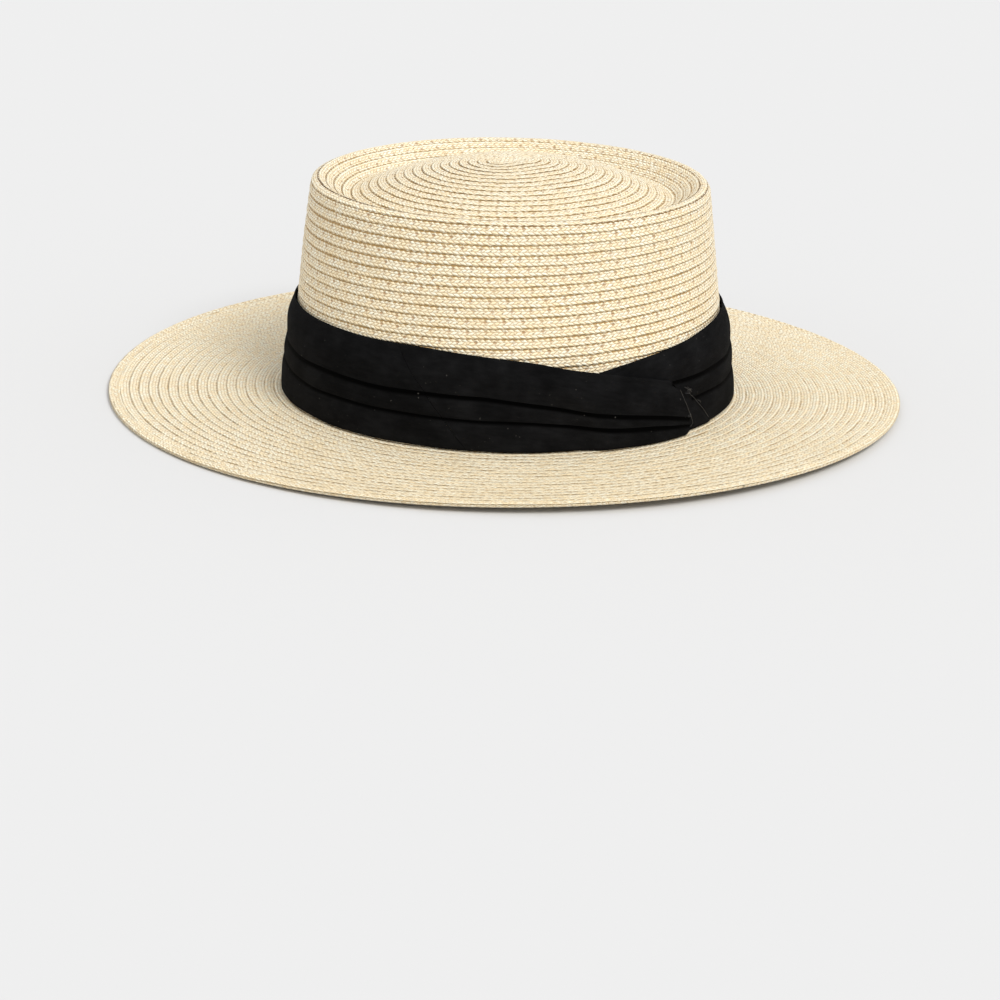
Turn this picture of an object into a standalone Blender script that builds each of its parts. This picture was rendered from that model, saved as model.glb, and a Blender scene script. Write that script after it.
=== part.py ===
"""Straw sun hat with a telescoped crown, a flat brim and a pleated cloth band.

Metres, +Z up. The hat stands on the doubled edge of its brim, and the origin is on the surface
it stands on, under the middle of the crown. -Y is the front of the hat and +X the wearer's left.
Angles run anticlockwise from +X, seen from above, so the front is at -90 degrees.

The straw is one braid sewn round and round. It is modelled as the stretches in which it changes
direction, and each stretch laps over the next by half its thickness along one course.
"""

from math import atan2, ceil, copysign, cos, hypot, pi, radians, sin, tan

import bmesh
import bpy
import numpy as np
from mathutils import Matrix, Vector

# Fit on the head
HEAD_CIRCUMFERENCE = 0.570
OVAL = 1.02                     # length of the hat, front to back, over its width

# Sewn braid
BRAID_THICKNESS = 0.0015
COURSE = 0.0039                 # how far each round of braid advances, and the length of a lap
GAP = 0.0003                    # clearance between two pieces that touch

# Crown, heights above the top of the brim
CROWN_CORNER_HEIGHT = 0.0916    # where the wall and the slope inside the rim would meet
WALL_LEAN = 0.1248              # how far the wall leans in for each metre of height
RIM_RADIUS = 0.0036
TIP_RISE = 0.0147               # top of the dome above the bottom of the channel
CHANNEL_DEPTH = 0.0100          # bottom of the channel below the crown's corner
CHANNEL_HALF_WIDTH = 0.0645     # half width of the ring that the channel's bottom follows
CHANNEL_RADIUS = 0.0050
BASE_TURN_RADIUS = 0.0015       # turn from the wall into the brim

# Where one stretch of braid laps over the next
TIP_LAP_HALF_WIDTH = 0.0470
CHANNEL_LAP_HALF_WIDTH = 0.0725
RIM_LAP_HEIGHT = 0.0740
FOOT_LAP_HEIGHT = 0.0065
BASE_LAP_WIDTH = 0.0065         # out along the brim from the crown's base
BRIM_LAP_WIDTH = 0.0360         # the same

# Brim
BRIM_WIDTH = 0.0712
EDGE_BRAID_WIDTH = 0.0050
EDGE_BRAID_THICKNESS = 0.0010
EDGE_STITCH_INSETS = (0.0014, 0.0034)
BRAID_END_ANGLES = (68.0, 88.0)
BRAID_END_TIP_WIDTH = 0.0010

# Start of the braid, folded into a short straight strip on top of the crown
BUTTON_LENGTH = 0.0200
BUTTON_WIDTH = 0.0070
BUTTON_LIP = 0.0014
BUTTON_LIP_THICKNESS = 0.0007

# Pleated band, heights above the top of the brim
BAND_BOTTOM = 0.0018
BAND_TOP = 0.0388
PLEAT_HEIGHTS = (0.0210, 0.0123)
PLEAT_THIN = 0.0012
PLEAT_FULL = 0.0023
PLEAT_STEP = 0.0004             # height of the step under each pleat's folded edge
CLOTH_THICKNESS = 0.0006        # one folded layer of the band's cloth
TAIL_START = -12.0              # where the band's hidden end starts, in degrees
BIAS_SEAM = -52.0
BIAS_SEAM_SLANT = 20.0          # degrees that the seam runs from the band's foot to its top
FOLD_END = 15.5
FRONT_END_TOP = 0.0212          # top of the band where its outer end folds under
FRONT_END_PLEATS = (0.0046, 0.0030)
FRONT_TAPER_START = -47.0
FRONT_TOP_CURVE = 1.6           # power of the curve that the narrowing top follows
FRONT_PLEAT_CURVE = 1.2
FRONT_RAMP = (-30.0, -13.0)     # where the front run climbs over the tail
TAIL_TOP_DROP = 0.0110
TAIL_TAPER_END = 44.0
TAIL_TOP_CURVE = 0.6
FLAP_ANGLES = (3.0, 26.0)
FLAP_TOP = 0.0195
FLAP_TOP_ANGLE = 14.5
THREAD_RADIUS = 0.00025
TACK_ANGLES = {"right": 180.0, "back": 100.0, "left": 52.0, "front": -90.0}
FOLD_STITCH_HEIGHTS = {"upper": 0.0165, "lower": 0.0070}
FOLD_STITCH_ANGLES = (-2.0, 0.4, 1.0, 2.6)      # past the fold: on the run, down its end, on the flap

# Sweatband
SWEATBAND_THICKNESS = 0.0008
SWEATBAND_HEIGHTS = (0.0010, 0.0300)
SWEATBAND_JOIN_ANGLE = 90.0
JOIN_TAPE_WIDTH = 0.0100
SWEATBAND_STITCH_HEIGHT = 0.0035
TAB_WIDTH = 0.0120
TAB_HEIGHT = 0.0160
TAPE_THICKNESS = 0.0004         # of the tab and of the join tape
TAB_ANGLE = 118.0

SEGMENTS = 48                   # flats round the hat
ARC_STEPS = 3
SLANTED_SIDE = 0.0062           # longest side in the outline of a strip with slanting ends

# Sizes that follow from the ones above
HEAD_HALF_WIDTH = HEAD_CIRCUMFERENCE / (pi * (1.0 + OVAL))
BASE_HALF_WIDTH = HEAD_HALF_WIDTH + SWEATBAND_THICKNESS + GAP + BRAID_THICKNESS
BRIM_HALF_WIDTH = BASE_HALF_WIDTH + BRIM_WIDTH
BRIM_TOP = EDGE_BRAID_THICKNESS + GAP + BRAID_THICKNESS
APEX_HEIGHT = CROWN_CORNER_HEIGHT - CHANNEL_DEPTH + TIP_RISE
FRONT_LIFT = PLEAT_FULL + CLOTH_THICKNESS + 2.0 * GAP

COLOURS = {
    "straw_braid": ((0.78, 0.66, 0.46, 1.0), 0.62),
    "band_cloth": ((0.008, 0.008, 0.009, 1.0), 0.80),
    "band_thread": ((0.02, 0.02, 0.02, 1.0), 0.60),
    "straw_thread": ((0.62, 0.50, 0.33, 1.0), 0.60),
    "sweatband_cloth": ((0.80, 0.72, 0.58, 1.0), 0.75),
    "tab_cloth": ((0.86, 0.84, 0.80, 1.0), 0.70),
}


def remove_all():
    for obj in list(bpy.data.objects):
        bpy.data.objects.remove(obj, do_unlink=True)


def collection(name):
    made = bpy.data.collections.new(name)
    bpy.context.scene.collection.children.link(made)
    return made


def material(name):
    colour, roughness = COLOURS[name]
    made = bpy.data.materials.new(name)
    made.use_nodes = True
    shader = made.node_tree.nodes["Principled BSDF"]
    shader.inputs["Base Color"].default_value = colour
    shader.inputs["Roughness"].default_value = roughness
    shader.inputs["Metallic"].default_value = 0.0
    return made


def keep(obj, part_material):
    """Move an object into the hat's collection, under its parent, with its material."""
    for old in list(obj.users_collection):
        old.objects.unlink(obj)
    HAT.objects.link(obj)
    obj.parent = HAT_ORIGIN
    obj.data.materials.clear()
    obj.data.materials.append(part_material)
    if obj.type == "MESH":
        obj.data.shade_smooth()
        obj.data.set_sharp_from_angle(angle=radians(35))
    return obj


def mesh_object(name, bm):
    mesh = bpy.data.meshes.new(name)
    bm.to_mesh(mesh)
    bm.free()
    return bpy.data.objects.new(name, mesh)


# The outer surface of the straw, as a line in the half plane at +X

def rounded(corners):
    """A line through corners, each a point and the radius that rounds it."""
    points = [corners[0][0]]
    for (before, _), (corner, radius), (after, _) in zip(corners, corners[1:], corners[2:]):
        if radius == 0.0:
            points.append(corner)
            continue
        back = (before - corner).normalized()
        ahead = (after - corner).normalized()
        half = back.angle(ahead) / 2.0
        centre = corner + (back + ahead).normalized() * (radius / sin(half))
        first = corner + back * (radius / tan(half)) - centre
        last = corner + ahead * (radius / tan(half)) - centre
        start = atan2(first.y, first.x)
        turn = (atan2(last.y, last.x) - start + pi) % (2.0 * pi) - pi
        for step in range(ARC_STEPS + 1):
            angle = start + turn * step / ARC_STEPS
            points.append(centre + Vector((cos(angle), sin(angle))) * radius)
    points.append(corners[-1][0])
    return points


def dome_points(steps=6):
    """The domed middle of the tip, an arc that is level at the hat's axis."""
    reach = CHANNEL_HALF_WIDTH
    radius = (reach ** 2 + TIP_RISE ** 2) / (2.0 * TIP_RISE)
    edge = atan2(reach, radius - TIP_RISE)
    angles = [edge * step / steps for step in range(steps)]
    return [Vector((radius * sin(a), APEX_HEIGHT - radius * (1.0 - cos(a)))) for a in angles]


def wall_half_width(height):
    return BASE_HALF_WIDTH - WALL_LEAN * height


def outer_line():
    channel = Vector((CHANNEL_HALF_WIDTH, CROWN_CORNER_HEIGHT - CHANNEL_DEPTH))
    rim = Vector((wall_half_width(CROWN_CORNER_HEIGHT), CROWN_CORNER_HEIGHT))
    base = Vector((BASE_HALF_WIDTH, 0.0))
    edge = Vector((BRIM_HALF_WIDTH, 0.0))
    corners = [(point, 0.0) for point in dome_points()]
    corners += [(channel, CHANNEL_RADIUS), (rim, RIM_RADIUS), (base, BASE_TURN_RADIUS), (edge, 0.0)]
    return rounded(corners)


LINE = np.array([(p.x, p.y) for p in outer_line()])
TRAVEL = np.concatenate([[0.0], np.cumsum(np.hypot(*np.diff(LINE, axis=0).T))])
CREST = int(np.argmax(np.where(LINE[:, 0] > CHANNEL_HALF_WIDTH, LINE[:, 1], 0.0)))


def inward_normals():
    """The direction into the straw at each point of the outer line."""
    step = np.diff(LINE, axis=0)
    step /= np.hypot(*step.T)[:, None]
    side = np.stack([step[:, 1], -step[:, 0]], axis=1)
    joined = np.vstack([side[:1], side[:-1] + side[1:], side[-1:]])
    joined[0] = (0.0, -1.0)
    return joined / np.hypot(*joined.T)[:, None]


NORMALS = inward_normals()


def travel_at_half_width(half_width):
    return float(np.interp(half_width, LINE[:, 0], TRAVEL))


def travel_at_height(height):
    """Travel where the wall, below the rim, is at a height."""
    return float(np.interp(-height, -LINE[CREST:, 1], TRAVEL[CREST:]))


def at(travel, depth):
    """The point this far along the outer line and this deep in the straw."""
    place = [np.interp(travel, TRAVEL, LINE[:, i]) for i in (0, 1)]
    into = [np.interp(travel, TRAVEL, NORMALS[:, i]) for i in (0, 1)]
    return (place[0] + into[0] * depth, place[1] + into[1] * depth)


def run(start, end, depth):
    """Points of the outer line between two travels, sunk to a depth, in the order asked for."""
    low, high = sorted((start, end))
    inner = [t for t in TRAVEL if low + GAP < t < high - GAP]
    travels = sorted([low, high] + inner, reverse=bool(start > end))
    return [at(t, depth) for t in travels]


def braid_section(start, end):
    """Outline of a stretch of braid: it goes under the stretch before it and over the next."""
    half = (BRAID_THICKNESS - GAP) / 2.0
    reach = (COURSE + GAP) / 2.0
    tuck = (COURSE - GAP) / 2.0
    deep = BRAID_THICKNESS
    points = []
    if start == 0.0:
        top_start = under_start = 0.0
    else:
        top_start = start + reach
        under_start = start - tuck
    if end == TRAVEL[-1]:
        top_end = under_end = end
    else:
        top_end = end + tuck
        under_end = end - reach
    points += run(top_start, top_end, 0.0)
    if top_end != under_end:
        points += run(top_end, under_end, half)
    points += run(under_end, under_start, deep)
    if top_start != under_start:
        points += run(under_start, top_start, deep - half)
    return points


def turned(name, outline, part_material, closed=True):
    """A ring, or a cap when its outline is open and ends on the axis, turned round the hat."""
    mesh = bpy.data.meshes.new(name)
    edges = [(i, i + 1) for i in range(len(outline) - 1)]
    if closed:
        edges.append((len(outline) - 1, 0))
    mesh.from_pydata([(r, 0.0, BRIM_TOP + h) for r, h in outline], edges, [])
    obj = bpy.data.objects.new(name, mesh)
    screw = obj.modifiers.new("Turn", "SCREW")
    screw.steps = SEGMENTS
    screw.render_steps = SEGMENTS
    screw.use_merge_vertices = True
    screw.merge_threshold = 0.00001
    screw.use_smooth_shade = True
    obj.scale.y = OVAL
    return keep(obj, part_material)


def stadium(name, length, width, low, high):
    """A flat plate with round ends, long in Y: a disc whose two halves are moved apart."""
    bm = bmesh.new()
    bmesh.ops.create_cone(bm, cap_ends=True, segments=24, radius1=width / 2.0,
                          radius2=width / 2.0, depth=high - low)
    half_step = Matrix.Rotation(pi / 24, 3, "Z")
    bmesh.ops.rotate(bm, verts=bm.verts, cent=(0, 0, 0), matrix=half_step)
    for vert in bm.verts:
        vert.co.y += copysign((length - width) / 2.0, vert.co.y)
        vert.co.z += (low + high) / 2.0
    return mesh_object(name, bm)


def boolean(obj, other, operation):
    modifier = obj.modifiers.new(operation.title(), "BOOLEAN")
    modifier.object = other
    modifier.operation = operation
    modifier.solver = "EXACT"


def as_guide(obj):
    GUIDES.objects.link(obj)
    obj.parent = HAT_ORIGIN
    obj.hide_render = True
    obj.display_type = "WIRE"
    return obj


def on_hat(half_width, angle, height):
    """A point of the hat in space, from its half width in the X plane, angle and height."""
    turn = radians(angle)
    return (half_width * cos(turn), OVAL * half_width * sin(turn), BRIM_TOP + height)


def split_evenly(sections, longest_side):
    """Split the sides of matching outlines so that none is long, and all keep the same count."""
    count = len(sections[0])
    pieces = []
    for i in range(count):
        sides = [(outline[i], outline[(i + 1) % count]) for outline in sections]
        longest = max(hypot(b[0] - a[0], b[1] - a[1]) for a, b in sides)
        pieces.append(ceil(longest / longest_side))
    split = []
    for outline in sections:
        points = []
        for i, number in enumerate(pieces):
            a, b = outline[i], outline[(i + 1) % count]
            for k in range(number):
                share = k / number
                points.append((a[0] + (b[0] - a[0]) * share, a[1] + (b[1] - a[1]) * share))
        split.append(points)
    return split


def wrapped(name, section, start, end, part_material, steps, longest_side=1.0):
    """A strip that goes round the crown: a loft, since its section changes with the angle.

    section(angle) gives (half width, height) points, down the outside and up the inside;
    start(height) and end(height) give the angles of its two cut ends. A strip whose ends slant
    has short sides in its outline, so that they follow the crown's curve.
    """
    shares = [step / steps for step in range(steps + 1)]
    first, last = start(BAND_TOP / 2.0), end(BAND_TOP / 2.0)
    sections = [section(first + (last - first) * share) for share in shares]
    sections = split_evenly(sections, longest_side)
    bm = bmesh.new()
    rings = []
    for share, outline in zip(shares, sections):
        ring = []
        for half_width, height in outline:
            angle = start(height) * (1.0 - share) + end(height) * share
            ring.append(bm.verts.new(on_hat(half_width, angle, height)))
        rings.append(ring)
    for ring, after in zip(rings, rings[1:]):
        for i, vert in enumerate(ring):
            j = (i + 1) % len(ring)
            bm.faces.new((vert, ring[j], after[j], after[i]))
    bm.faces.new(rings[0][::-1])
    bm.faces.new(rings[-1])
    bmesh.ops.recalc_face_normals(bm, faces=bm.faces)
    return keep(mesh_object(name, bm), part_material)


def thread(name, points, part_material):
    """A short stitch: a round thread through points in space."""
    curve = bpy.data.curves.new(name, "CURVE")
    curve.dimensions = "3D"
    curve.bevel_depth = THREAD_RADIUS
    curve.bevel_resolution = 1
    curve.use_fill_caps = True
    spline = curve.splines.new("POLY")
    spline.points.add(len(points) - 1)
    for spline_point, point in zip(spline.points, points):
        spline_point.co = (*point, 1.0)
    return keep(bpy.data.objects.new(name, curve), part_material)


def thread_ring(name, half_width, height, part_material):
    """A line of stitching that goes all the way round the hat."""
    bpy.ops.mesh.primitive_torus_add(major_segments=SEGMENTS, minor_segments=4,
                                     major_radius=half_width, minor_radius=THREAD_RADIUS,
                                     location=(0.0, 0.0, BRIM_TOP + height))
    obj = bpy.context.object
    obj.name = name
    obj.scale.y = OVAL
    return keep(obj, part_material)


# Straw

def tip_button():
    """The start of the braid: a strip whose lip lies over the edge of the hole in the dome."""
    under = BRIM_TOP + APEX_HEIGHT - BRAID_THICKNESS
    seat = BRIM_TOP + APEX_HEIGHT + GAP
    lip = stadium("tip_button", BUTTON_LENGTH, BUTTON_WIDTH, seat, seat + BUTTON_LIP_THICKNESS)
    inset = 2.0 * (BUTTON_LIP + GAP)
    plug = stadium("button_plug", BUTTON_LENGTH - inset, BUTTON_WIDTH - inset, under,
                   seat + BUTTON_LIP_THICKNESS / 2.0)
    boolean(lip, as_guide(plug), "UNION")
    return keep(lip, STRAW)


def tip_dome(end):
    dome = turned("tip_dome", braid_section(0.0, end), STRAW, closed=False)
    top = BRIM_TOP + APEX_HEIGHT
    inset = 2.0 * BUTTON_LIP
    hole = stadium("button_hole", BUTTON_LENGTH - inset, BUTTON_WIDTH - inset,
                   top - 3.0 * BRAID_THICKNESS, top + BRAID_THICKNESS)
    boolean(dome, as_guide(hole), "DIFFERENCE")
    return dome


def straw_body():
    """The braid from the dome out to the brim, one ring for each stretch."""
    laps = [
        travel_at_half_width(TIP_LAP_HALF_WIDTH),
        travel_at_half_width(CHANNEL_LAP_HALF_WIDTH),
        travel_at_height(RIM_LAP_HEIGHT),
        travel_at_height(FOOT_LAP_HEIGHT),
        travel_at_half_width(BASE_HALF_WIDTH + BASE_LAP_WIDTH),
        travel_at_half_width(BASE_HALF_WIDTH + BRIM_LAP_WIDTH),
        TRAVEL[-1],
    ]
    tip_dome(laps[0])
    names = ("tip_channel", "crown_rim", "crown_wall", "crown_foot",
             "brim_inner", "brim_outer")
    for name, start, end in zip(names, laps, laps[1:]):
        turned(name, braid_section(start, end), STRAW)


def brim_edge_braid():
    """The last course, doubled under the edge of the brim: the hat stands on it."""
    outer = BRIM_HALF_WIDTH
    inner = outer - EDGE_BRAID_WIDTH
    top = -BRAID_THICKNESS - GAP
    foot = top - EDGE_BRAID_THICKNESS
    turned("brim_edge_braid", [(inner, top), (outer, top), (outer, foot), (inner, foot)], STRAW)


def braid_end():
    """The braid's far end, which narrows and is tucked in beside the doubled edge."""
    outer = (BRIM_HALF_WIDTH - EDGE_BRAID_WIDTH) * cos(pi / SEGMENTS) - GAP
    low = GAP - BRIM_TOP
    high = EDGE_BRAID_THICKNESS - BRIM_TOP
    curve = bpy.data.curves.new("braid_end", "CURVE")
    curve.dimensions = "2D"
    curve.fill_mode = "BOTH"
    curve.extrude = (high - low) / 2.0
    first, last = BRAID_END_ANGLES
    steps = 6
    angles = [first + (last - first) * step / steps for step in range(steps + 1)]
    widths = np.linspace(COURSE, BRAID_END_TIP_WIDTH, steps + 1)
    outline = [on_hat(outer, angle, 0.0) for angle in angles]
    outline += [on_hat(outer - w, angle, 0.0) for angle, w in zip(angles[::-1], widths[::-1])]
    spline = curve.splines.new("POLY")
    spline.points.add(len(outline) - 1)
    spline.use_cyclic_u = True
    for spline_point, (x, y, _) in zip(spline.points, outline):
        spline_point.co = (x, y, 0.0, 1.0)
    obj = bpy.data.objects.new("braid_end", curve)
    obj.location.z = BRIM_TOP + (low + high) / 2.0
    keep(obj, STRAW)


def brim_edge_stitches():
    for name, inset in zip(("brim_edge_stitch_outer", "brim_edge_stitch_inner"),
                           EDGE_STITCH_INSETS):
        thread_ring(name, BRIM_HALF_WIDTH - inset, GAP + THREAD_RADIUS, STRAW_THREAD)


# Band

def ease(angle, start, end, power):
    """0 before start, 1 after end, and a power curve between."""
    return min(max((angle - start) / (end - start), 0.0), 1.0) ** power


def front_heights(angle):
    """Top, pleat edges and foot of the front run, which narrows towards its folded end."""
    narrowing = ease(angle, FRONT_TAPER_START, FOLD_END, FRONT_TOP_CURVE)
    top = BAND_TOP + (FRONT_END_TOP - BAND_TOP) * narrowing
    taper = ease(angle, (FRONT_TAPER_START + FRONT_RAMP[0]) / 2.0, FOLD_END, FRONT_PLEAT_CURVE)
    pleats = [h + (end - h) * taper for h, end in zip(PLEAT_HEIGHTS, FRONT_END_PLEATS)]
    return (top, *pleats, BAND_BOTTOM)


def tail_heights(angle):
    """The same for the run that goes on round the hat from the hidden end."""
    drop = TAIL_TOP_DROP * (1.0 - ease(angle, TAIL_START, TAIL_TAPER_END, TAIL_TOP_CURVE))
    return (BAND_TOP - drop, *PLEAT_HEIGHTS, BAND_BOTTOM)


def pleated_section(heights, lift):
    """Outline of the folded cloth: each pleat's lower edge stands proud of the next one."""
    top, upper, lower, foot = heights
    profile = [(top, PLEAT_THIN), (upper, PLEAT_FULL), (upper - PLEAT_STEP, PLEAT_THIN),
               (lower, PLEAT_FULL), (lower - PLEAT_STEP, PLEAT_THIN), (foot, PLEAT_FULL),
               (foot, 0.0), (top, 0.0)]
    return [(band_half_width(height, lift + depth), height) for height, depth in profile]


def band_half_width(height, depth):
    return wall_half_width(height) + GAP + depth


def front_lift(angle):
    start, end = FRONT_RAMP
    share = ease(angle, start, end, 1.0)
    return FRONT_LIFT * share * share * (3.0 - 2.0 * share)


def bias_seam(height, side):
    """Angle of one cut end at the slanting seam, half a gap to one side of the middle."""
    slant = BIAS_SEAM_SLANT * (0.5 - height / BAND_TOP)
    return BIAS_SEAM + slant + side * np.degrees(GAP / BASE_HALF_WIDTH)


def band_front_run():
    wrapped("band_front_run",
            lambda angle: pleated_section(front_heights(angle), front_lift(angle)),
            lambda height: bias_seam(height, 1.0), lambda height: FOLD_END,
            BAND_CLOTH, steps=14, longest_side=SLANTED_SIDE)


def band_round_run():
    wrapped("band_round_run",
            lambda angle: pleated_section(tail_heights(angle), 0.0),
            lambda height: TAIL_START, lambda height: 360.0 + bias_seam(height, -1.0),
            BAND_CLOTH, steps=45, longest_side=SLANTED_SIDE)


def band_end_fold():
    """The folded-under end of the front run, which shows as a triangle past the fold."""
    inner = PLEAT_FULL + GAP
    outer = inner + CLOTH_THICKNESS
    corners = [(FLAP_TOP, outer), (BAND_BOTTOM, outer), (BAND_BOTTOM, inner), (FLAP_TOP, inner)]
    start, foot_end = FLAP_ANGLES
    slope = (FLAP_TOP_ANGLE - foot_end) / (FLAP_TOP - BAND_BOTTOM)
    wrapped("band_end_fold",
            lambda angle: [(band_half_width(height, depth), height) for height, depth in corners],
            lambda height: start, lambda height: foot_end + slope * (height - BAND_BOTTOM),
            BAND_CLOTH, steps=4, longest_side=SLANTED_SIDE)


def band_tacks():
    """Hidden stitches that hold the top of the band to the crown."""
    stand_off = GAP + THREAD_RADIUS
    for place, angle in TACK_ANGLES.items():
        top = tail_heights(angle % 360.0)[0]
        over = top + 2.0 * stand_off
        points = [
            on_hat(wall_half_width(top + COURSE / 2.0) + stand_off, angle, top + COURSE / 2.0),
            on_hat(wall_half_width(over) + stand_off, angle, over),
            on_hat(band_half_width(top, PLEAT_THIN), angle, over),
            on_hat(band_half_width(top, PLEAT_FULL + stand_off), angle, top),
            on_hat(band_half_width(top, PLEAT_FULL + stand_off), angle, top - COURSE / 2.0),
        ]
        thread("band_tack_" + place, points, BAND_THREAD)


def fold_stitches():
    """Two stitches across the folded end, from the front run down to the flap under it."""
    stand_off = GAP + THREAD_RADIUS
    above = FRONT_LIFT + PLEAT_FULL + stand_off
    below = PLEAT_FULL + GAP + CLOTH_THICKNESS + stand_off
    for place, height in FOLD_STITCH_HEIGHTS.items():
        route = zip(FOLD_STITCH_ANGLES, (above, above, below, below))
        points = [on_hat(band_half_width(height, depth), FOLD_END + past, height)
                  for past, depth in route]
        thread("fold_stitch_" + place, points, BAND_THREAD)


# Inside the crown

def lining_half_width(height, depth):
    """A place inside the crown, this far in from the inner face of the wall."""
    return wall_half_width(height) - BRAID_THICKNESS - GAP - depth


def lining_strip(name, heights, depths, angles, part_material, steps):
    """A strip of cloth against the inside of the crown."""
    low, high = heights
    outer, inner = depths
    corners = [(high, outer), (low, outer), (low, inner), (high, inner)]
    wrapped(name,
            lambda angle: [(lining_half_width(height, depth), height)
                           for height, depth in corners],
            lambda height: angles[0], lambda height: angles[1], part_material, steps)


def degrees_along(length):
    """The angle that a length takes up round the inside of the crown."""
    return float(np.degrees(length / HEAD_HALF_WIDTH))


def sweatband():
    """A strip whose ends meet at the back of the hat."""
    half_gap = degrees_along(GAP)
    angles = (SWEATBAND_JOIN_ANGLE + half_gap, SWEATBAND_JOIN_ANGLE + 360.0 - half_gap)
    lining_strip("sweatband", SWEATBAND_HEIGHTS, (0.0, SWEATBAND_THICKNESS), angles,
                 SWEATBAND_CLOTH, SEGMENTS)


def sweatband_join():
    """The tape that holds the two ends of the sweatband together."""
    half = degrees_along(JOIN_TAPE_WIDTH) / 2.0
    angles = (SWEATBAND_JOIN_ANGLE - half, SWEATBAND_JOIN_ANGLE + half)
    low, high = SWEATBAND_HEIGHTS
    outer = SWEATBAND_THICKNESS + GAP
    heights = (SWEATBAND_STITCH_HEIGHT + COURSE / 2.0, high - GAP)
    lining_strip("sweatband_join", heights, (outer, outer + TAPE_THICKNESS), angles,
                 SWEATBAND_CLOTH, 2)


def sweatband_stitch():
    """The seam that joins the foot of the sweatband to the straw."""
    inward = SWEATBAND_THICKNESS + GAP + THREAD_RADIUS
    half_width = lining_half_width(SWEATBAND_STITCH_HEIGHT, inward)
    thread_ring("sweatband_stitch", half_width, SWEATBAND_STITCH_HEIGHT, STRAW_THREAD)


def size_tab():
    """A plain tab that hangs on the inside of the sweatband."""
    half = degrees_along(TAB_WIDTH) / 2.0
    high = SWEATBAND_HEIGHTS[1] - COURSE / 2.0
    outer = SWEATBAND_THICKNESS + GAP
    lining_strip("size_tab", (high - TAB_HEIGHT, high), (outer, outer + TAPE_THICKNESS),
                 (TAB_ANGLE - half, TAB_ANGLE + half), TAB_CLOTH, 2)


remove_all()
HAT = collection("straw_sun_hat")
GUIDES = collection("hat_guides")
HAT_ORIGIN = bpy.data.objects.new("hat_origin", None)
HAT.objects.link(HAT_ORIGIN)
STRAW = material("straw_braid")
BAND_CLOTH = material("band_cloth")
BAND_THREAD = material("band_thread")
STRAW_THREAD = material("straw_thread")
SWEATBAND_CLOTH = material("sweatband_cloth")
TAB_CLOTH = material("tab_cloth")

tip_button()
straw_body()
brim_edge_braid()
braid_end()
brim_edge_stitches()
band_front_run()
band_round_run()
band_end_fold()
band_tacks()
fold_stitches()
sweatband()
sweatband_join()
sweatband_stitch()
size_tab()
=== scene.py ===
"""Looks for the straw sun hat: sewn paper braid, pleated black band, sweatband, floor, light and camera.

Metres, +Z up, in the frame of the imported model: -Y is the front of the hat and +X the wearer's left.
Angles run anticlockwise from +X, seen from above.
"""

from math import atan2, cos, degrees, pi, radians, sin, tan

import bpy
import numpy as np
from mathutils import Matrix, Vector


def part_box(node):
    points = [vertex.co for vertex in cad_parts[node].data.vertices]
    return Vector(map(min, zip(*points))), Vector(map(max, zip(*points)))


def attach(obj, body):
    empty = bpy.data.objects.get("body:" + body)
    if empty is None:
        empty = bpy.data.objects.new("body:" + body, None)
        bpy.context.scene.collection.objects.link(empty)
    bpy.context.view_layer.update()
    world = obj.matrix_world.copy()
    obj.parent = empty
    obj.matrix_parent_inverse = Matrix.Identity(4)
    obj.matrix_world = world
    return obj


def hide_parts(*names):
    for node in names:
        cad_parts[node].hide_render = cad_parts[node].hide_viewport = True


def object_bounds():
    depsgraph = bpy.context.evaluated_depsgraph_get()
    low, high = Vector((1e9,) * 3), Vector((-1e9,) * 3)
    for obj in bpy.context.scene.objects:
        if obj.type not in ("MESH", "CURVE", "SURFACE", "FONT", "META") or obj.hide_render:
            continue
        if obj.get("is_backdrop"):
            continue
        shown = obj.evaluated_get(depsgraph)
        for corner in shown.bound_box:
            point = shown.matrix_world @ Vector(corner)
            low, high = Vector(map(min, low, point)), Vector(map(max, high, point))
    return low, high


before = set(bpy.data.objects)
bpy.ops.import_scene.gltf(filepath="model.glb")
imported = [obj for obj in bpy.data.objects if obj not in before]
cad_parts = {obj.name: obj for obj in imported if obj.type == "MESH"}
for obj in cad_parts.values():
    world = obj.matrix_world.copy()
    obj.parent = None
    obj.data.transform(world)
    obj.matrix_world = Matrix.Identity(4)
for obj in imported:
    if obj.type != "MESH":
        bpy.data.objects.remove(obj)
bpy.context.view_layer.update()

# Sizes read from the frame
EDGE_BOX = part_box("brim_edge_braid")
BRIM_HALF_WIDTH = EDGE_BOX[1].x
OVAL = EDGE_BOX[1].y / EDGE_BOX[1].x
BRIM_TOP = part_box("brim_outer")[1].z
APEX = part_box("tip_dome")[1].z
WALL_LOW = Vector((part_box("crown_wall")[1].x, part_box("crown_wall")[0].z))
WALL_HIGH = Vector((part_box("crown_rim")[1].x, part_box("crown_rim")[0].z))
WALL_LEAN = (WALL_LOW.x - WALL_HIGH.x) / (WALL_HIGH.y - WALL_LOW.y)

# Shape of the tip, as in the model
TIP_RISE = 0.0147
CHANNEL_DEPTH = 0.0100
CHANNEL_HALF_WIDTH = 0.0645
CHANNEL_RADIUS = 0.0050
RIM_RADIUS = 0.0036
BASE_TURN_RADIUS = 0.0015

# Unevenness of the hat, as in the photo: the brim's edge lifts off the plane, more at the sides
# than at front and back, the crown's foot is drawn in on one side, and its courses lie on a slant
BRIM_LIFT = 0.0022
BRIM_WAVE = 0.00156
BRIM_WAVE_ANGLE = radians(-7.6)
FOOT_PULL = 0.0021
FOOT_PULL_ANGLE = radians(-124.0)
FOOT_PULL_REACH = 0.075
COURSE_TILT = 0.0023
COURSE_TILT_ANGLE = radians(56.0)
COURSE_TILT_REACH = 0.030       # it grows to its full size this far from the crest and the base

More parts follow.
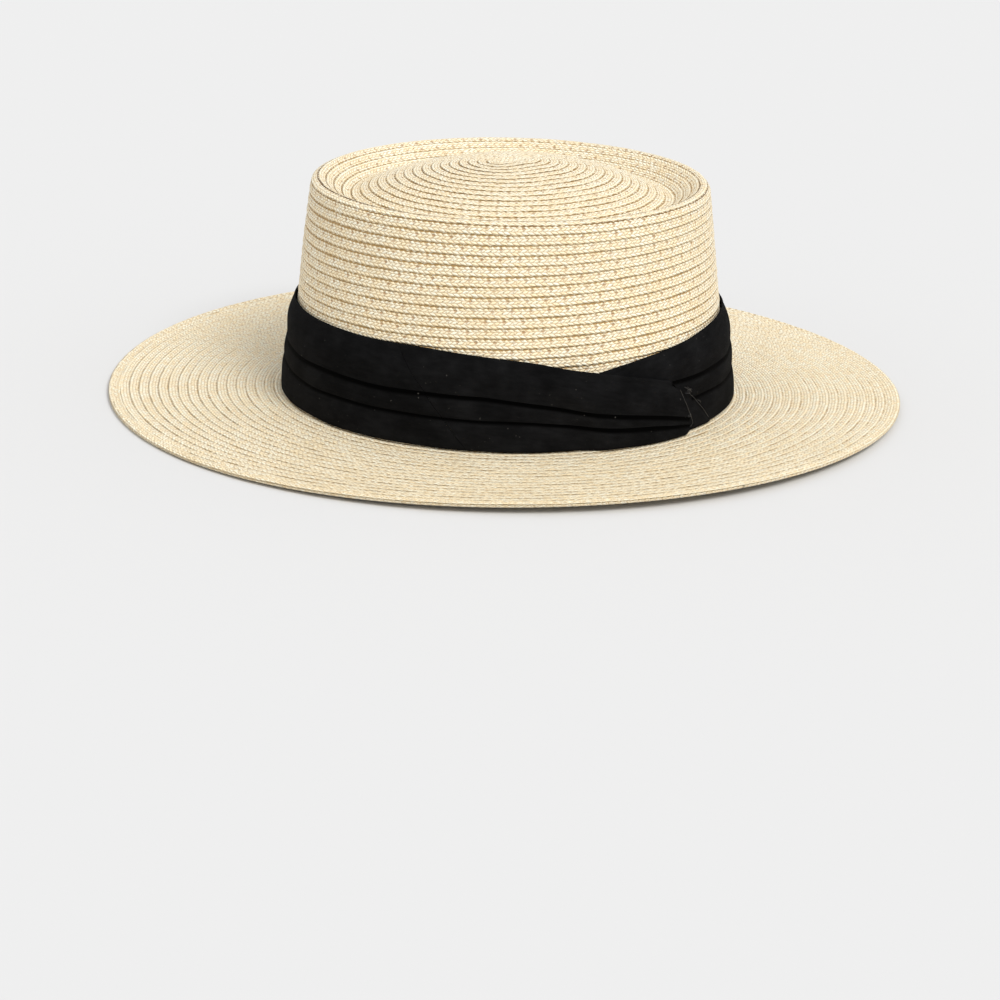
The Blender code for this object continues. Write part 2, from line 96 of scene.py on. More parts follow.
# Braid
BRAID_WIDTH = 0.0052
BRAID_THICKNESS = 0.00066
CROWN_COURSE = 0.00405          # how far each round of braid advances
BRIM_COURSE = 0.00382
COURSE_START = 0.262            # middle of the first course, in courses
START_STRAIGHT = 0.0065         # half length of the straight sides of the first course
START_OVERLAP = 0.0004          # how far the first round reaches past the hat's middle
STRAW_THICKNESS = 0.0015        # of the sewn straw, laps included
TILT_SHARE = 0.64               # how far the braid leans from the course under it to the one over it
BRIM_TILT_SHARE = 0.85          # and how much of that it does on the brim
LEVEL_FROM = 1.2                # turns before its end at which the braid starts to lie level
LEVEL_OVER = 0.2                # turns that this takes
SCALLOP = 0.0035                # one plait of the braid
SCALLOP_DEPTH = 0.00034
SCALLOP_CHANGE = (0.35, 1.65)   # least and most of that depth, plait by plait
STEPS_PER_SCALLOP = 4
STRIDE = SCALLOP / STEPS_PER_SCALLOP
FEWEST_STEPS = 12               # in a round of braid
WEAVE_HEIGHT = 0.00006
WEAVE_WIDTH = 0.0030
PLACE_WANDER = 0.00017          # slow unevenness of where a course lies
HEIGHT_WANDER = 0.00008
WANDER_WAVES = (0.013, 0.031, 0.083)
STITCH_PITCH = 0.0074

# Outline of the braid
STRIP_TOP_POINTS = 8
STRIP_UNDER_POINTS = 3
STRIP_CROWDING = 0.35           # how far the points are drawn towards its edges
STRIP_EDGE_DROP = 0.75          # how far its upper side comes down at the edges

# Doubled edge of the brim, heights over the brim's surface
EDGE_WIDTH = 0.0050
EDGE_THICKNESS = 0.0011
EDGE_MIDDLE = -0.00150
EDGE_TOP = -0.00036             # top of the last course
EDGE_SCALLOP_DEPTH = 0.000476
EDGE_STITCH_INSETS = (0.0014, 0.0034)
EDGE_STITCH_PITCH = 0.0037
EDGE_STITCH_SHARE = 0.62        # of the pitch, above the straw
EDGE_STITCH_RADIUS = 0.00017
EDGE_STITCH_RISE = 0.00026
TAIL_WIDTHS = (0.0039, 0.0010)
TAIL_THICKNESS = 0.00077
TAIL_MIDDLE = -0.00130
TAIL_GAP = 0.0005
TAIL_STEPS = 90

# Threads
THREAD_END_SHARE = 0.35         # of its radius, at each end of a thread
STITCH_STEPS = 7
STITCH_SINK = 0.6               # of its radius, that a stitch lies in the cloth or straw
TACK_STEPS = 9
TACK_RADIUS = 0.00014
TACK_HEIGHTS = (-0.0006, -0.0042)
TACK_SHIFTS = (-0.35, 0.0, 0.3)
TACK_SLANT = radians(0.25)
FOLD_STITCH_RADIUS = 0.00013
LOOSE_THREAD_RADIUS = 0.00005

# Pleated band, heights over the brim and angles in degrees, as in the model, apart from the band's
# foot and the start of the ramp, which follow the photo more closely
BAND_GAP = 0.0003
BAND_BOTTOM = 0.0004
BAND_TOP = 0.0388
PLEAT_HEIGHTS = (0.0210, 0.0123)
PLEAT_DEPTH = 0.0023
PLEAT_BULGE = 0.00115           # how far a pleat swells between its edges
PLEAT_FULL_HEIGHT = 0.012       # a pleat this tall swells in full
PLEAT_STEPS = 12
PLEAT_WANDER = (0.0003, 0.0006, 0.0006, 0.0002)     # of the top, the two folds and the foot
CLOTH = 0.00034
CLOTH_RIPPLES = ((0.00016, 9.0, 190.0), (0.00012, 21.0, -330.0))    # size, rate round and rate up
TOP_HEM = 0.0080
FOOT_HEM = 0.0050
TUCK = 0.0052                   # how far a fold goes up behind the pleat over it
NO_FOLD = 1.0                   # stands for a distance under a fold where there is none
TAIL_START = -12.0
BIAS_SEAM = -52.0
BIAS_SEAM_SLANT = 20.0
BIAS_SEAM_HALF_GAP = 0.00012
FOLD_END = 15.5
FOLD_CORNER = 5.4               # how far back its rounded upper corner begins
FOLD_LOWER_CORNER = 1.5
FOLD_LOWER_CORNER_HEIGHT = 0.0045
FRONT_END_TOP = 0.0212
FRONT_END_PLEATS = (0.0046, 0.0030)
FRONT_TAPER_START = -47.0
FRONT_TOP_CURVE = 1.6
FRONT_PLEAT_START = -38.5
FRONT_PLEAT_CURVE = 1.2
FRONT_RAMP = (-23.0, -13.0)
FRONT_LIFT = 0.0035
FRONT_STEP = 0.5
ROUND_STEP = 0.75
TAIL_TOP_DROP = 0.0110
TAIL_TAPER_END = 44.0
TAIL_TOP_CURVE = 0.6
FLAP_ANGLES = (3.0, 26.0)
FLAP_TOP = 0.0195
FLAP_TOP_ANGLE = 14.5
FLAP_DEPTH = 0.00265
FLAP_THICKNESS = 0.00055
FLAP_ROWS = 24
FLAP_STEPS = 28
END_ROUND = 0.0011
END_DEPTH = 0.0015
END_PINCH = 0.15                # of the cloth's folds, left at the very end
TACK_ANGLES = {"right": 180.0, "back": 100.0, "left": 52.0, "front": -90.0}
FOLD_STITCH_HEIGHTS = {"upper": 0.0165, "lower": 0.0070}

# Sweatband and what is sewn on it, depths inwards from its outer side
LINING_GAP = 0.0003
LINING_POINTS = 16
LINING_RIPPLE = 0.00012
SWEATBAND_DEPTHS = (0.0, 0.0008)
TAPE_DEPTHS = (0.00115, 0.00155)
TAPE_WIDTH = 0.0100
TAB_DEPTHS = (0.00115, 0.00150)
TAB_WIDTH = 0.0120
SEAM_DEPTH = 0.00085
SEAM_PITCH = 0.0042
SEAM_SHARE = 0.66
SEAM_RADIUS = 0.00018
SEAM_RISE = 0.00022


# Outer surface of the straw

def rounded(corners, steps=12):
    """A line through corners, each a point and the radius that rounds it."""
    points = [corners[0][0]]
    for (before, _), (corner, radius), (after, _) in zip(corners, corners[1:], corners[2:]):
        if radius == 0.0:
            points.append(corner)
            continue
        back = (before - corner).normalized()
        ahead = (after - corner).normalized()
        half = back.angle(ahead) / 2.0
        centre = corner + (back + ahead).normalized() * (radius / sin(half))
        first = corner + back * (radius / tan(half)) - centre
        last = corner + ahead * (radius / tan(half)) - centre
        start = atan2(first.y, first.x)
        turn = (atan2(last.y, last.x) - start + pi) % (2.0 * pi) - pi
        for step in range(steps + 1):
            angle = start + turn * step / steps
            points.append(centre + Vector((cos(angle), sin(angle))) * radius)
    points.append(corners[-1][0])
    return points


def wall_half_width(z):
    """Half width of the crown's outer surface, in the X plane, at a height."""
    return WALL_LOW.x - WALL_LEAN * (z - WALL_LOW.y)


def outer_line(dome_steps=24):
    """The hat's upper surface from the middle of the tip to the brim's edge, as (half width, height)."""
    channel = Vector((CHANNEL_HALF_WIDTH, APEX - TIP_RISE))
    rim_height = channel.y + CHANNEL_DEPTH
    rim = Vector((wall_half_width(rim_height), rim_height))
    base = Vector((wall_half_width(BRIM_TOP), BRIM_TOP))
    edge = Vector((BRIM_HALF_WIDTH, BRIM_TOP))
    radius = (CHANNEL_HALF_WIDTH ** 2 + TIP_RISE ** 2) / (2.0 * TIP_RISE)
    spread = atan2(CHANNEL_HALF_WIDTH, radius - TIP_RISE)
    dome = [spread * step / dome_steps for step in range(dome_steps)]
    corners = [(Vector((radius * sin(a), APEX - radius * (1.0 - cos(a)))), 0.0) for a in dome]
    corners += [(channel, CHANNEL_RADIUS), (rim, RIM_RADIUS), (base, BASE_TURN_RADIUS), (edge, 0.0)]
    return rounded(corners)


LINE = np.array([(p.x, p.y) for p in outer_line()])
TRAVEL = np.concatenate([[0.0], np.cumsum(np.hypot(*np.diff(LINE, axis=0).T))])
FROM_BASE = np.hypot(LINE[:, 0] - wall_half_width(BRIM_TOP), LINE[:, 1] - BRIM_TOP)
BASE_TRAVEL = float(TRAVEL[np.argmin(FROM_BASE)])
CREST = int(np.argmax(np.where(LINE[:, 0] > CHANNEL_HALF_WIDTH, LINE[:, 1], 0.0)))


def outward_normals():
    """Unit normals at the points of the outer line."""
    step = np.diff(LINE, axis=0)
    step /= np.hypot(*step.T)[:, None]
    side = np.stack([-step[:, 1], step[:, 0]], axis=1)
    joined = np.vstack([side[:1], side[:-1] + side[1:], side[-1:]])
    joined[0] = (0.0, 1.0)
    return joined / np.hypot(*joined.T)[:, None]


NORMALS = outward_normals()


def soft(share):
    """A share from 0 to 1, eased at both ends."""
    return share * share * (3.0 - 2.0 * share)


def straight_share(travel):
    """Half length of a course's straight sides: long at the start, and none at the rim."""
    return START_STRAIGHT * np.clip(1.0 - travel / TRAVEL[CREST], 0.0, 1.0)


def brim_wave(turn, half_width):
    """How far the brim lifts off its plane."""
    base = wall_half_width(BRIM_TOP)
    out = np.clip((half_width - base) / (BRIM_HALF_WIDTH - base), 0.0, 1.0)
    return (BRIM_LIFT + BRIM_WAVE * np.cos(2.0 * (turn - BRIM_WAVE_ANGLE))) * out ** 2


def foot_pull(travel, turn):
    """How far the foot of the crown is drawn in, on the side where it is."""
    near = np.clip(1.0 - np.abs(travel - BASE_TRAVEL) / FOOT_PULL_REACH, 0.0, 1.0)
    side = np.clip(np.cos(turn - FOOT_PULL_ANGLE), 0.0, 1.0)
    return FOOT_PULL * soft(near) * side ** 2


def on_straw(travel, turn, straight, above):
    """Points of the hat this far along the outer line, at an angle, and above the surface.

    straight, from -1 to 1, is the place along the straight sides of the oval first courses.
    """
    travel = np.maximum(travel, 0.0)
    r = np.interp(travel, TRAVEL, LINE[:, 0])
    z = np.interp(travel, TRAVEL, LINE[:, 1])
    out = np.interp(travel, TRAVEL, NORMALS[:, 0])
    up = np.interp(travel, TRAVEL, NORMALS[:, 1])
    wide = r + out * above - foot_pull(travel, turn)
    x = wide * np.cos(turn)
    y = OVAL * wide * np.sin(turn) + straight * straight_share(travel)
    return np.stack([x, y, z + up * above + brim_wave(turn, r)], axis=-1)


# Mesh helpers

ROW_ENDS = 0.01                 # margins round a row of the bake's map, as shares of it
ROW_SIDES = 0.03


def grid_mesh(name, points, closed_across=True, closed_along=False, caps=True, flip=False):
    """A mesh over a grid of points, shape (along, across, 3): a tube with capped ends, or a sheet."""
    along, across = points.shape[:2]
    index = np.arange(along * across).reshape(along, across)
    rows = index if not closed_along else np.vstack([index, index[:1]])
    columns = rows if not closed_across else np.hstack([rows, rows[:, :1]])
    a, b = columns[:-1, :-1].ravel(), columns[1:, :-1].ravel()
    c, d = columns[1:, 1:].ravel(), columns[:-1, 1:].ravel()
    quads = np.stack([a, b, c, d] if not flip else [d, c, b, a], axis=1)
    mesh = bpy.data.meshes.new(name)
    loops = quads.ravel()
    sizes = np.full(len(quads), 4)
    if caps:
        first, last = index[0], index[-1][::-1]
        if flip:
            first, last = first[::-1], last[::-1]
        loops = np.concatenate([loops, first, last])
        sizes = np.concatenate([sizes, [across, across]])
    mesh.vertices.add(along * across)
    mesh.vertices.foreach_set("co", points.reshape(-1).astype(np.float32))
    mesh.loops.add(len(loops))
    mesh.loops.foreach_set("vertex_index", loops.astype(np.int32))
    mesh.polygons.add(len(sizes))
    starts = np.concatenate([[0], np.cumsum(sizes)[:-1]])
    mesh.polygons.foreach_set("loop_start", starts.astype(np.int32))
    mesh.update(calc_edges=True)
    mesh.validate()
    mesh.shade_smooth()
    obj = bpy.data.objects.new(name, mesh)
    bpy.context.scene.collection.objects.link(obj)
    return obj


def store(obj, name, values):
    """Keep a value for each point, three numbers, where the materials read it."""
    attribute = obj.data.attributes.new(name, "FLOAT_VECTOR", "POINT")
    attribute.data.foreach_set("vector", np.asarray(values, np.float32).reshape(-1))


def bake_rows(obj, along, across, rows, row_count):
    """Lay a strip out in rows of the bake's map: rows is the place of each step, in turns."""
    turn = np.floor(rows[:-1] + 1e-9)
    left = rows[:-1] - turn
    right = rows[1:] - turn
    share = np.arange(across + 1) / across
    u = np.stack([left, right, right, left], axis=1)[:, None, :].repeat(across, axis=1)
    v = np.stack([share[:-1], share[:-1], share[1:], share[1:]], axis=1)[None].repeat(along - 1, axis=0)
    u = ROW_ENDS + u * (1.0 - 2.0 * ROW_ENDS) / max(1.0, float(right.max()))
    v = (turn[:, None, None] + ROW_SIDES + v * (1.0 - 2.0 * ROW_SIDES)) / row_count
    sides = np.stack([u, v], axis=-1).reshape(-1, 2)
    caps = np.zeros((len(obj.data.loops) - len(sides), 2))
    layer = obj.data.uv_layers.new(name="OFBake")
    layer.data.foreach_set("uv", np.vstack([sides, caps]).astype(np.float32).reshape(-1))


# Straw

def section():
    """Outline of the braid: places across it, from -1 to 1, and heights, from -1 to 1."""
    over = np.linspace(-1.0, 1.0, STRIP_TOP_POINTS)
    over = np.sin(over * pi / 2.0) * STRIP_CROWDING + over * (1.0 - STRIP_CROWDING)
    under = np.linspace(1.0, -1.0, STRIP_UNDER_POINTS + 2)[1:-1]
    crown = 1.0 - STRIP_EDGE_DROP * np.abs(over) ** 7
    height = np.concatenate([crown, np.full(STRIP_UNDER_POINTS, -1.0)])
    return np.concatenate([over, under]), height


ACROSS, HEIGHT = section()
FIRST_TRAVEL = CROWN_COURSE * COURSE_START
LAST_TRAVEL = TRAVEL[-1] - BRAID_WIDTH / 2.0
CROWN_TURNS = (BASE_TRAVEL - FIRST_TRAVEL) / CROWN_COURSE


def course_travel(turns):
    """How far out the middle of the braid is after a number of turns."""
    crown = FIRST_TRAVEL + CROWN_COURSE * np.minimum(turns, CROWN_TURNS)
    brim = BRIM_COURSE * np.maximum(turns - CROWN_TURNS, 0.0)
    return np.minimum(crown + brim, LAST_TRAVEL)


def turns_at(travel):
    """The number of turns after which the middle of the braid is this far out."""
    if travel <= BASE_TRAVEL:
        return (travel - FIRST_TRAVEL) / CROWN_COURSE
    return CROWN_TURNS + (travel - BASE_TRAVEL) / BRIM_COURSE


END_TURN = turns_at(LAST_TRAVEL) + 1.0
BASE_TURN = turns_at(BASE_TRAVEL)
CREST_TURN = turns_at(TRAVEL[CREST])


def walk():
    """Places along the braid, a quarter of a plait apart: turns, angle, straight share and length."""
    turns, angle, straight, length = [], [], [], []
    done = 0.0
    number = 0
    while number < END_TURN:
        travel = float(course_travel(number + 0.5))
        side = float(straight_share(travel))
        arc = pi * float(np.interp(travel, TRAVEL, LINE[:, 0])) * (1.0 + OVAL) / 2.0
        around = 2.0 * arc + 4.0 * side
        count = max(FEWEST_STEPS, round(around / STRIDE))
        share = min(1.0, END_TURN - number)
        steps = np.arange(round(count * share)) / count
        place = steps * around
        corners = np.cumsum([0, side, arc, 2 * side, arc, side])
        turns.append(number + steps)
        angle.append(-np.interp(place, corners, np.array([0, 0, 1, 1, 2, 2]) * pi))
        straight.append(-np.interp(place, corners, [0, 1, 1, -1, -1, 0]) if side > 1e-5 else 0.0 * place)
        length.append(done + place)
        done += around
        number += 1
    return [np.concatenate(x) for x in (turns, angle, straight, length)]


WALK = walk()


def course_tilt(travel, angle):
    """The crown's courses lie a little higher on one side than on the other."""
    below_crest = np.clip((travel - TRAVEL[CREST]) / COURSE_TILT_REACH, 0.0, 1.0)
    above_base = np.clip((BASE_TRAVEL - travel) / COURSE_TILT_REACH, 0.0, 1.0)
    return -COURSE_TILT * soft(below_crest) * soft(above_base) * np.cos(angle - COURSE_TILT_ANGLE)


def wander(length, seed, size):
    """A small slow unevenness along the braid."""
    draw = np.random.default_rng(seed)
    total = np.zeros_like(length)
    for wave in WANDER_WAVES:
        total += np.sin(2.0 * pi * length / wave + draw.uniform(0.0, 2.0 * pi))
    return total * size / len(WANDER_WAVES)


def braid_across(turns, length, travel):
    """Places across the braid, out to its scalloped edges."""
    plait = (length / SCALLOP).astype(int)
    change = np.random.default_rng(9).uniform(*SCALLOP_CHANGE, plait[-1] + 1)[plait]
    scallop = SCALLOP_DEPTH * change * (0.5 + 0.5 * np.cos(2.0 * pi * length / SCALLOP))
    half = BRAID_WIDTH / 2.0
    across = ACROSS[None] * (half + scallop[:, None])
    to_middle = ACROSS[None] * np.maximum(half, travel[:, None] + START_OVERLAP)
    inner_side = (turns < 1.0)[:, None] & (ACROSS[None] < 0.0)
    return np.where(inner_side, to_middle, across)


def braid_above(turns, length, across):
    """Heights over the straw's surface: a course leans from the one under it to the one over it."""
    level = np.clip((turns - (END_TURN - LEVEL_FROM)) / LEVEL_OVER, 0.0, 1.0)[:, None]
    lean = TILT_SHARE * np.where(turns > BASE_TURN + 2.0, BRIM_TILT_SHARE, 1.0)[:, None]
    lean = lean * (STRAW_THICKNESS - BRAID_THICKNESS) / 2.0
    middle = -STRAW_THICKNESS / 2.0 + lean * ACROSS[None] * (1.0 - level)
    middle = middle + level * (EDGE_TOP - BRAID_THICKNESS / 2.0 + STRAW_THICKNESS / 2.0)
    weave = np.cos(2.0 * pi * length[:, None] / SCALLOP) * np.cos(2.0 * pi * across / WEAVE_WIDTH)
    weave = WEAVE_HEIGHT * weave * (HEIGHT[None] > 0.5)
    above = middle + HEIGHT[None] * BRAID_THICKNESS / 2.0 + weave
    return above + wander(length, 5, HEIGHT_WANDER)[:, None]


def braid(name, node, low, high):
    """A stretch of the braid between two numbers of turns, in the place of a CAD node."""
    turns, angle, straight, length = [x[(WALK[0] >= low) & (WALK[0] <= high)] for x in WALK]
    travel = course_travel(turns) + wander(length, 3, PLACE_WANDER)
    travel = travel + course_tilt(travel, angle)
    across = braid_across(turns, length, travel)
    above = braid_above(turns, length, across)
    points = on_straw(travel[:, None] + across, angle[:, None], straight[:, None], above)
    obj = grid_mesh(name, points)
    mark_braid(obj, length, across, turns[:, None])
    first = np.floor(turns[0])
    bake_rows(obj, len(turns), len(ACROSS), turns - first, np.ceil(turns[-1] - first))
    return dress(obj, "straw_braid", node)


def mark_braid(obj, length, across, turns):
    """Where each point lies in the braid, and whether it is on its upper or its under side."""
    ones = np.ones_like(across)
    store(obj, "braid", np.stack([length[:, None] * ones, across, turns * ones], axis=-1))
    side = np.sign(HEIGHT)[None] * ones
    store(obj, "braid_side", np.stack([side, side, side], axis=-1))


def dress(obj, slot, node=None):
    """Hide the CAD node a piece stands for, give the piece the material of its slot, and put it on the hat's
    one body.
    """
    if node:
        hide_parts(node)
    obj.data.materials.clear()
    obj.data.materials.append(MATERIALS[slot])
    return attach(obj, "root")


# Materials

class Nodes:
    """Short names for the nodes of a material."""

    def __init__(self, name):
        self.material = bpy.data.materials.new(name)
        self.material.use_nodes = True
        self.tree = self.material.node_tree
        self.shader = self.tree.nodes["Principled BSDF"]

    def put(self, socket, value):
        if isinstance(value, bpy.types.NodeSocket):
            self.tree.links.new(value, socket)
        elif value is not None:
            socket.default_value = value

    def node(self, kind, inputs, **settings):
        """A new node, with its inputs given in order or by name; the result is its outputs."""
        node = self.tree.nodes.new("ShaderNode" + kind)
        for name, value in settings.items():
            setattr(node, name, value)
        for key, value in inputs.items() if isinstance(inputs, dict) else enumerate(inputs):
            self.put(node.inputs[key], value)
        return node.outputs

    def math(self, operation, a, b=None):
        return self.node("Math", (a, b), operation=operation)[0]

    def plus(self, a, b):
        return self.math("ADD", a, b)

    def minus(self, a, b):
        return self.math("SUBTRACT", a, b)

    def times(self, a, b):
        return self.math("MULTIPLY", a, b)

    def ridges(self, place, pitch):
        return self.math("ABSOLUTE", self.math("SINE", self.times(place, pi / pitch)))

    def attribute(self, name):
        vector = self.node("Attribute", (), attribute_name=name)["Vector"]
        return self.node("SeparateXYZ", (vector,))

    def join(self, x, y, z=0.0):
        return self.node("CombineXYZ", (x, y, z))[0]

    def position(self):
        return self.node("TexCoord", ())["Object"]

    def noise(self, vector, scale, detail=2.0, roughness=0.5):
        inputs = {"Vector": vector, "Scale": scale, "Detail": detail, "Roughness": roughness}
        return self.node("TexNoise", inputs)["Fac"]

    def white(self, vector):
        return self.node("TexWhiteNoise", {"Vector": vector})["Value"]

    def smooth(self, value, low, high, to_low=0.0, to_high=1.0):
        inputs = (value, low, high, to_low, to_high)
        return self.node("MapRange", inputs, interpolation_type="SMOOTHSTEP")[0]

    def mix(self, share, a, b):
        return self.node("Mix", {"Factor": share, "A": a, "B": b}, data_type="RGBA")["Result"]

    def bump(self, height, distance, strength):
        return self.node("Bump", {"Strength": strength, "Distance": distance, "Height": height})["Normal"]

    def set(self, **values):
        for name, value in values.items():
            self.put(self.shader.inputs[name.replace("_", " ")], value)


def srgb(r, g, b):
    """A colour given as it looks on a screen, 0 to 255."""
    shares = [c / 255.0 for c in (r, g, b)]
    linear = [((c + 0.055) / 1.055) ** 2.4 if c > 0.04 else c / 12.92 for c in shares]
    return (*linear, 1.0)


STRAND = 0.00125                # width of one strand of the plait
STRAND_PITCH = SCALLOP / 1.5
STRAND_LEAN = 0.62              # how far a strand moves along as it crosses its row, in pitches
LAP_EDGE = -0.00128             # where the course above ends, across the braid
LAP_BEADS = 0.00042             # how far its plaits stand out
CREST_LAP = 0.00030             # how much wider the shade is at the crown's crest
HOLE_RADIUS = 0.00060
HOLE_WOBBLE = 0.0016
DOT_OFFSET = 0.0008

STRAW_TINTS = (srgb(255, 238, 201), srgb(255, 252, 232))
STRAW_FIBRE = srgb(214, 190, 146)
STRAW_SHADE = srgb(188, 150, 94)
STRAW_PATCH = srgb(214, 186, 138)
# Painted shade in the stitch holes and in the small dents beside them
HOLE_SHADE_COLOUR = srgb(176, 128, 80)
DOT_SHADE_COLOUR = srgb(150, 132, 100)
# Painted shade beside the edge of each course, and a darker painted shade at the crown's crest
LAP_SHADE_COLOUR = srgb(182, 146, 90)
CREST_SHADE_COLOUR = srgb(120, 86, 44)


def strands(n, along, across, whole_turn):
    """Relief of the plait, in rows whose strands lean to and fro in turn, and a tint for each strand."""
    row = n.math("DIVIDE", across, STRAND)
    row_number = n.math("FLOOR", row)
    in_row = n.minus(row, row_number)
    sign = n.minus(n.times(n.math("PINGPONG", row_number, 1.0), 2.0), 1.0)
    lean = n.times(n.times(in_row, sign), STRAND_LEAN)
    strand = n.plus(n.math("DIVIDE", along, STRAND_PITCH), lean)
    strand_number = n.math("FLOOR", strand)
    in_strand = n.minus(strand, strand_number)
    round_strand = n.math("SINE", n.times(in_strand, pi))
    round_row = n.math("SINE", n.times(in_row, pi))
    relief = n.times(n.math("POWER", round_strand, 0.7), n.math("POWER", round_row, 0.5))
    return relief, n.white(n.join(strand_number, row_number, whole_turn))


def distance(n, x, y):
    """Length of a line from its two parts."""
    return n.math("SQRT", n.plus(n.math("POWER", x, 2.0), n.math("POWER", y, 2.0)))


def stitch_marks(n, along, across, turn, whole_turn):
    """Holes of the sewing along the middle of the braid, and small dots on both sides of them: both are
    dented, and painted dark as the shade inside them.
    """
    uneven_line = n.minus(n.noise(n.join(along, 0.0, whole_turn), 90.0), 0.5)
    wobble = n.times(uneven_line, HOLE_WOBBLE)
    hole = n.math("DIVIDE", n.plus(along, wobble), STITCH_PITCH)
    from_hole = n.minus(n.math("FRACT", hole), 0.5)
    from_hole = n.times(from_hole, STITCH_PITCH * 0.8)
    from_middle = n.minus(across, n.times(wobble, 0.35))
    strength = n.smooth(n.white(n.join(n.math("FLOOR", hole), whole_turn)), 0.0, 1.0, 0.35, 0.75)
    strength = n.times(strength, n.smooth(turn, BASE_TURN - 1.0, BASE_TURN + 1.0, 1.0, 0.45))
    to_hole = distance(n, from_hole, from_middle)
    spot = n.smooth(to_hole, HOLE_RADIUS * 0.45, HOLE_RADIUS * 1.35, 1.0, 0.0)
    holes = n.times(spot, strength)
    half = n.math("FRACT", n.plus(n.times(hole, 2.0), 0.5))
    from_dot = n.times(n.minus(half, 0.5), STITCH_PITCH / 2.0)
    off_row = n.minus(n.math("ABSOLUTE", from_middle), DOT_OFFSET)
    dots = n.smooth(distance(n, from_dot, off_row), 0.00016, 0.00044, 0.42, 0.0)
    return holes, dots


def lap_shade(n, along, from_under, turn, near_crest):
    """The shade beside the beaded edge of the next course, from the first round to the last."""
    edge = n.plus(LAP_EDGE, n.times(n.ridges(along, STRAND_PITCH), LAP_BEADS))
    edge = n.plus(edge, n.times(near_crest, CREST_LAP))
    lap_shadow = n.smooth(n.minus(from_under, edge), -0.00016, 0.00026, 1.0, 0.0)
    lap_shadow = n.times(lap_shadow, n.math("GREATER_THAN", turn, 1.0))
    lap_shadow = n.times(lap_shadow, n.math("LESS_THAN", turn, END_TURN - 1.05))
    return n.times(lap_shadow, n.smooth(turn, BASE_TURN - 1.0, BASE_TURN + 1.0, 1.0, 0.95))


def straw_material():
    """Flat-plaited paper straw: slanting strands in rows, with brown painted shade between the strands, in
    the stitch holes and beside the laps.
    """
    n = Nodes("straw_braid")
    along, across, turn = n.attribute("braid")
    side = n.math("SIGN", n.attribute("braid_side")[0])
    whole_turn = n.math("FLOOR", turn)
    relief, tint = strands(n, along, across, whole_turn)
    holes, dots = stitch_marks(n, along, across, turn, whole_turn)
    from_crest = n.math("ABSOLUTE", n.minus(turn, CREST_TURN + 0.5))
    near_crest = n.smooth(from_crest, 0.4, 0.9, 1.0, 0.0)
    lap_shadow = lap_shade(n, along, n.times(across, side), turn, near_crest)
    fibre = n.noise(n.join(n.times(along, 3.0), across, turn), 900.0, 2.0, 0.6)
    patches = n.noise(n.position(), 45.0, 3.0)

    colour = n.mix(tint, *STRAW_TINTS)
    colour = n.mix(n.smooth(fibre, 0.42, 0.72, 0.0, 0.45), colour, STRAW_FIBRE)
    colour = n.mix(n.smooth(relief, 0.10, 0.66, 0.66, 0.0), colour, STRAW_SHADE)
    # Painted shade in the stitch holes and in the small dents beside them
    colour = n.mix(holes, colour, HOLE_SHADE_COLOUR)
    colour = n.mix(dots, colour, DOT_SHADE_COLOUR)
    # Painted shade where each course comes out from under the one above it, darker at the crown's crest
    colour = n.mix(lap_shadow, colour, n.mix(near_crest, LAP_SHADE_COLOUR, CREST_SHADE_COLOUR))
    colour = n.mix(n.smooth(patches, 0.40, 0.75, 0.0, 0.16), colour, STRAW_PATCH)
    n.set(Base_Color=colour, Roughness=0.55, Specular_IOR_Level=0.3)
    height = n.minus(relief, n.times(n.math("MAXIMUM", holes, dots), 1.3))
    n.set(Normal=n.bump(height, 0.00032, 1.0))
    return n.material


def cloth_material(name, dark, light, roughness, thread, relief):
    """Plain woven cloth, with its threads on the slant, and painted shade close under each fold."""
    n = Nodes(name)
    along, across, under_fold = n.attribute("cloth")
    weave = n.times(n.ridges(n.plus(along, across), thread), n.ridges(n.minus(along, across), thread))
    slub = n.noise(n.join(n.times(along, 0.3), across), 500.0, 3.0, 0.6)
    share = n.plus(n.times(weave, 0.5), n.times(slub, 0.7))
    worn = n.noise(n.position(), 70.0, 3.0, 0.6)
    share = n.times(share, n.smooth(worn, 0.3, 0.8, 0.55, 1.15))
    # Painted shade close under the fold above
    share = n.times(share, n.smooth(under_fold, 0.0002, 0.0017, 0.0, 1.0))
    lint = n.smooth(n.noise(n.position(), 900.0, 0.0), 0.83, 0.89, 0.0, 0.15)
    colour = n.mix(lint, n.mix(share, dark, light), srgb(150, 146, 138))
    n.set(Base_Color=colour, Roughness=roughness, Specular_IOR_Level=0.03)
    rough = n.plus(n.times(weave, 0.6), n.times(slub, 0.8))
    n.set(Normal=n.bump(rough, relief, 0.8))
    return n.material


def ribbon_material():
    """Ribbed ribbon: fine ribs across its length."""
    n = Nodes("sweatband_cloth")
    along, across, _ = n.attribute("cloth")
    rib = n.ridges(along, 0.0009)
    fine = n.noise(n.join(along, n.times(across, 0.15)), 1800.0, 2.0, 0.6)
    share = n.plus(n.times(rib, 0.7), n.times(fine, 0.4))
    stain = n.noise(n.position(), 35.0, 3.0, 0.6)
    colour = n.mix(share, srgb(196, 174, 138), srgb(236, 220, 190))
    colour = n.mix(n.smooth(stain, 0.4, 0.8, 0.0, 0.25), colour, srgb(190, 162, 120))
    n.set(Base_Color=colour, Roughness=0.72, Specular_IOR_Level=0.2)
    n.set(Normal=n.bump(share, 0.00012, 0.8))
    return n.material


def thread_material(name, dark, light):
    """Twisted thread."""
    n = Nodes(name)
    twist = n.noise(n.position(), 2600.0, 2.0, 0.5)
    n.set(Base_Color=n.mix(twist, dark, light), Roughness=0.6, Specular_IOR_Level=0.3)
    n.set(Normal=n.bump(twist, 0.00006, 0.7))
    return n.material


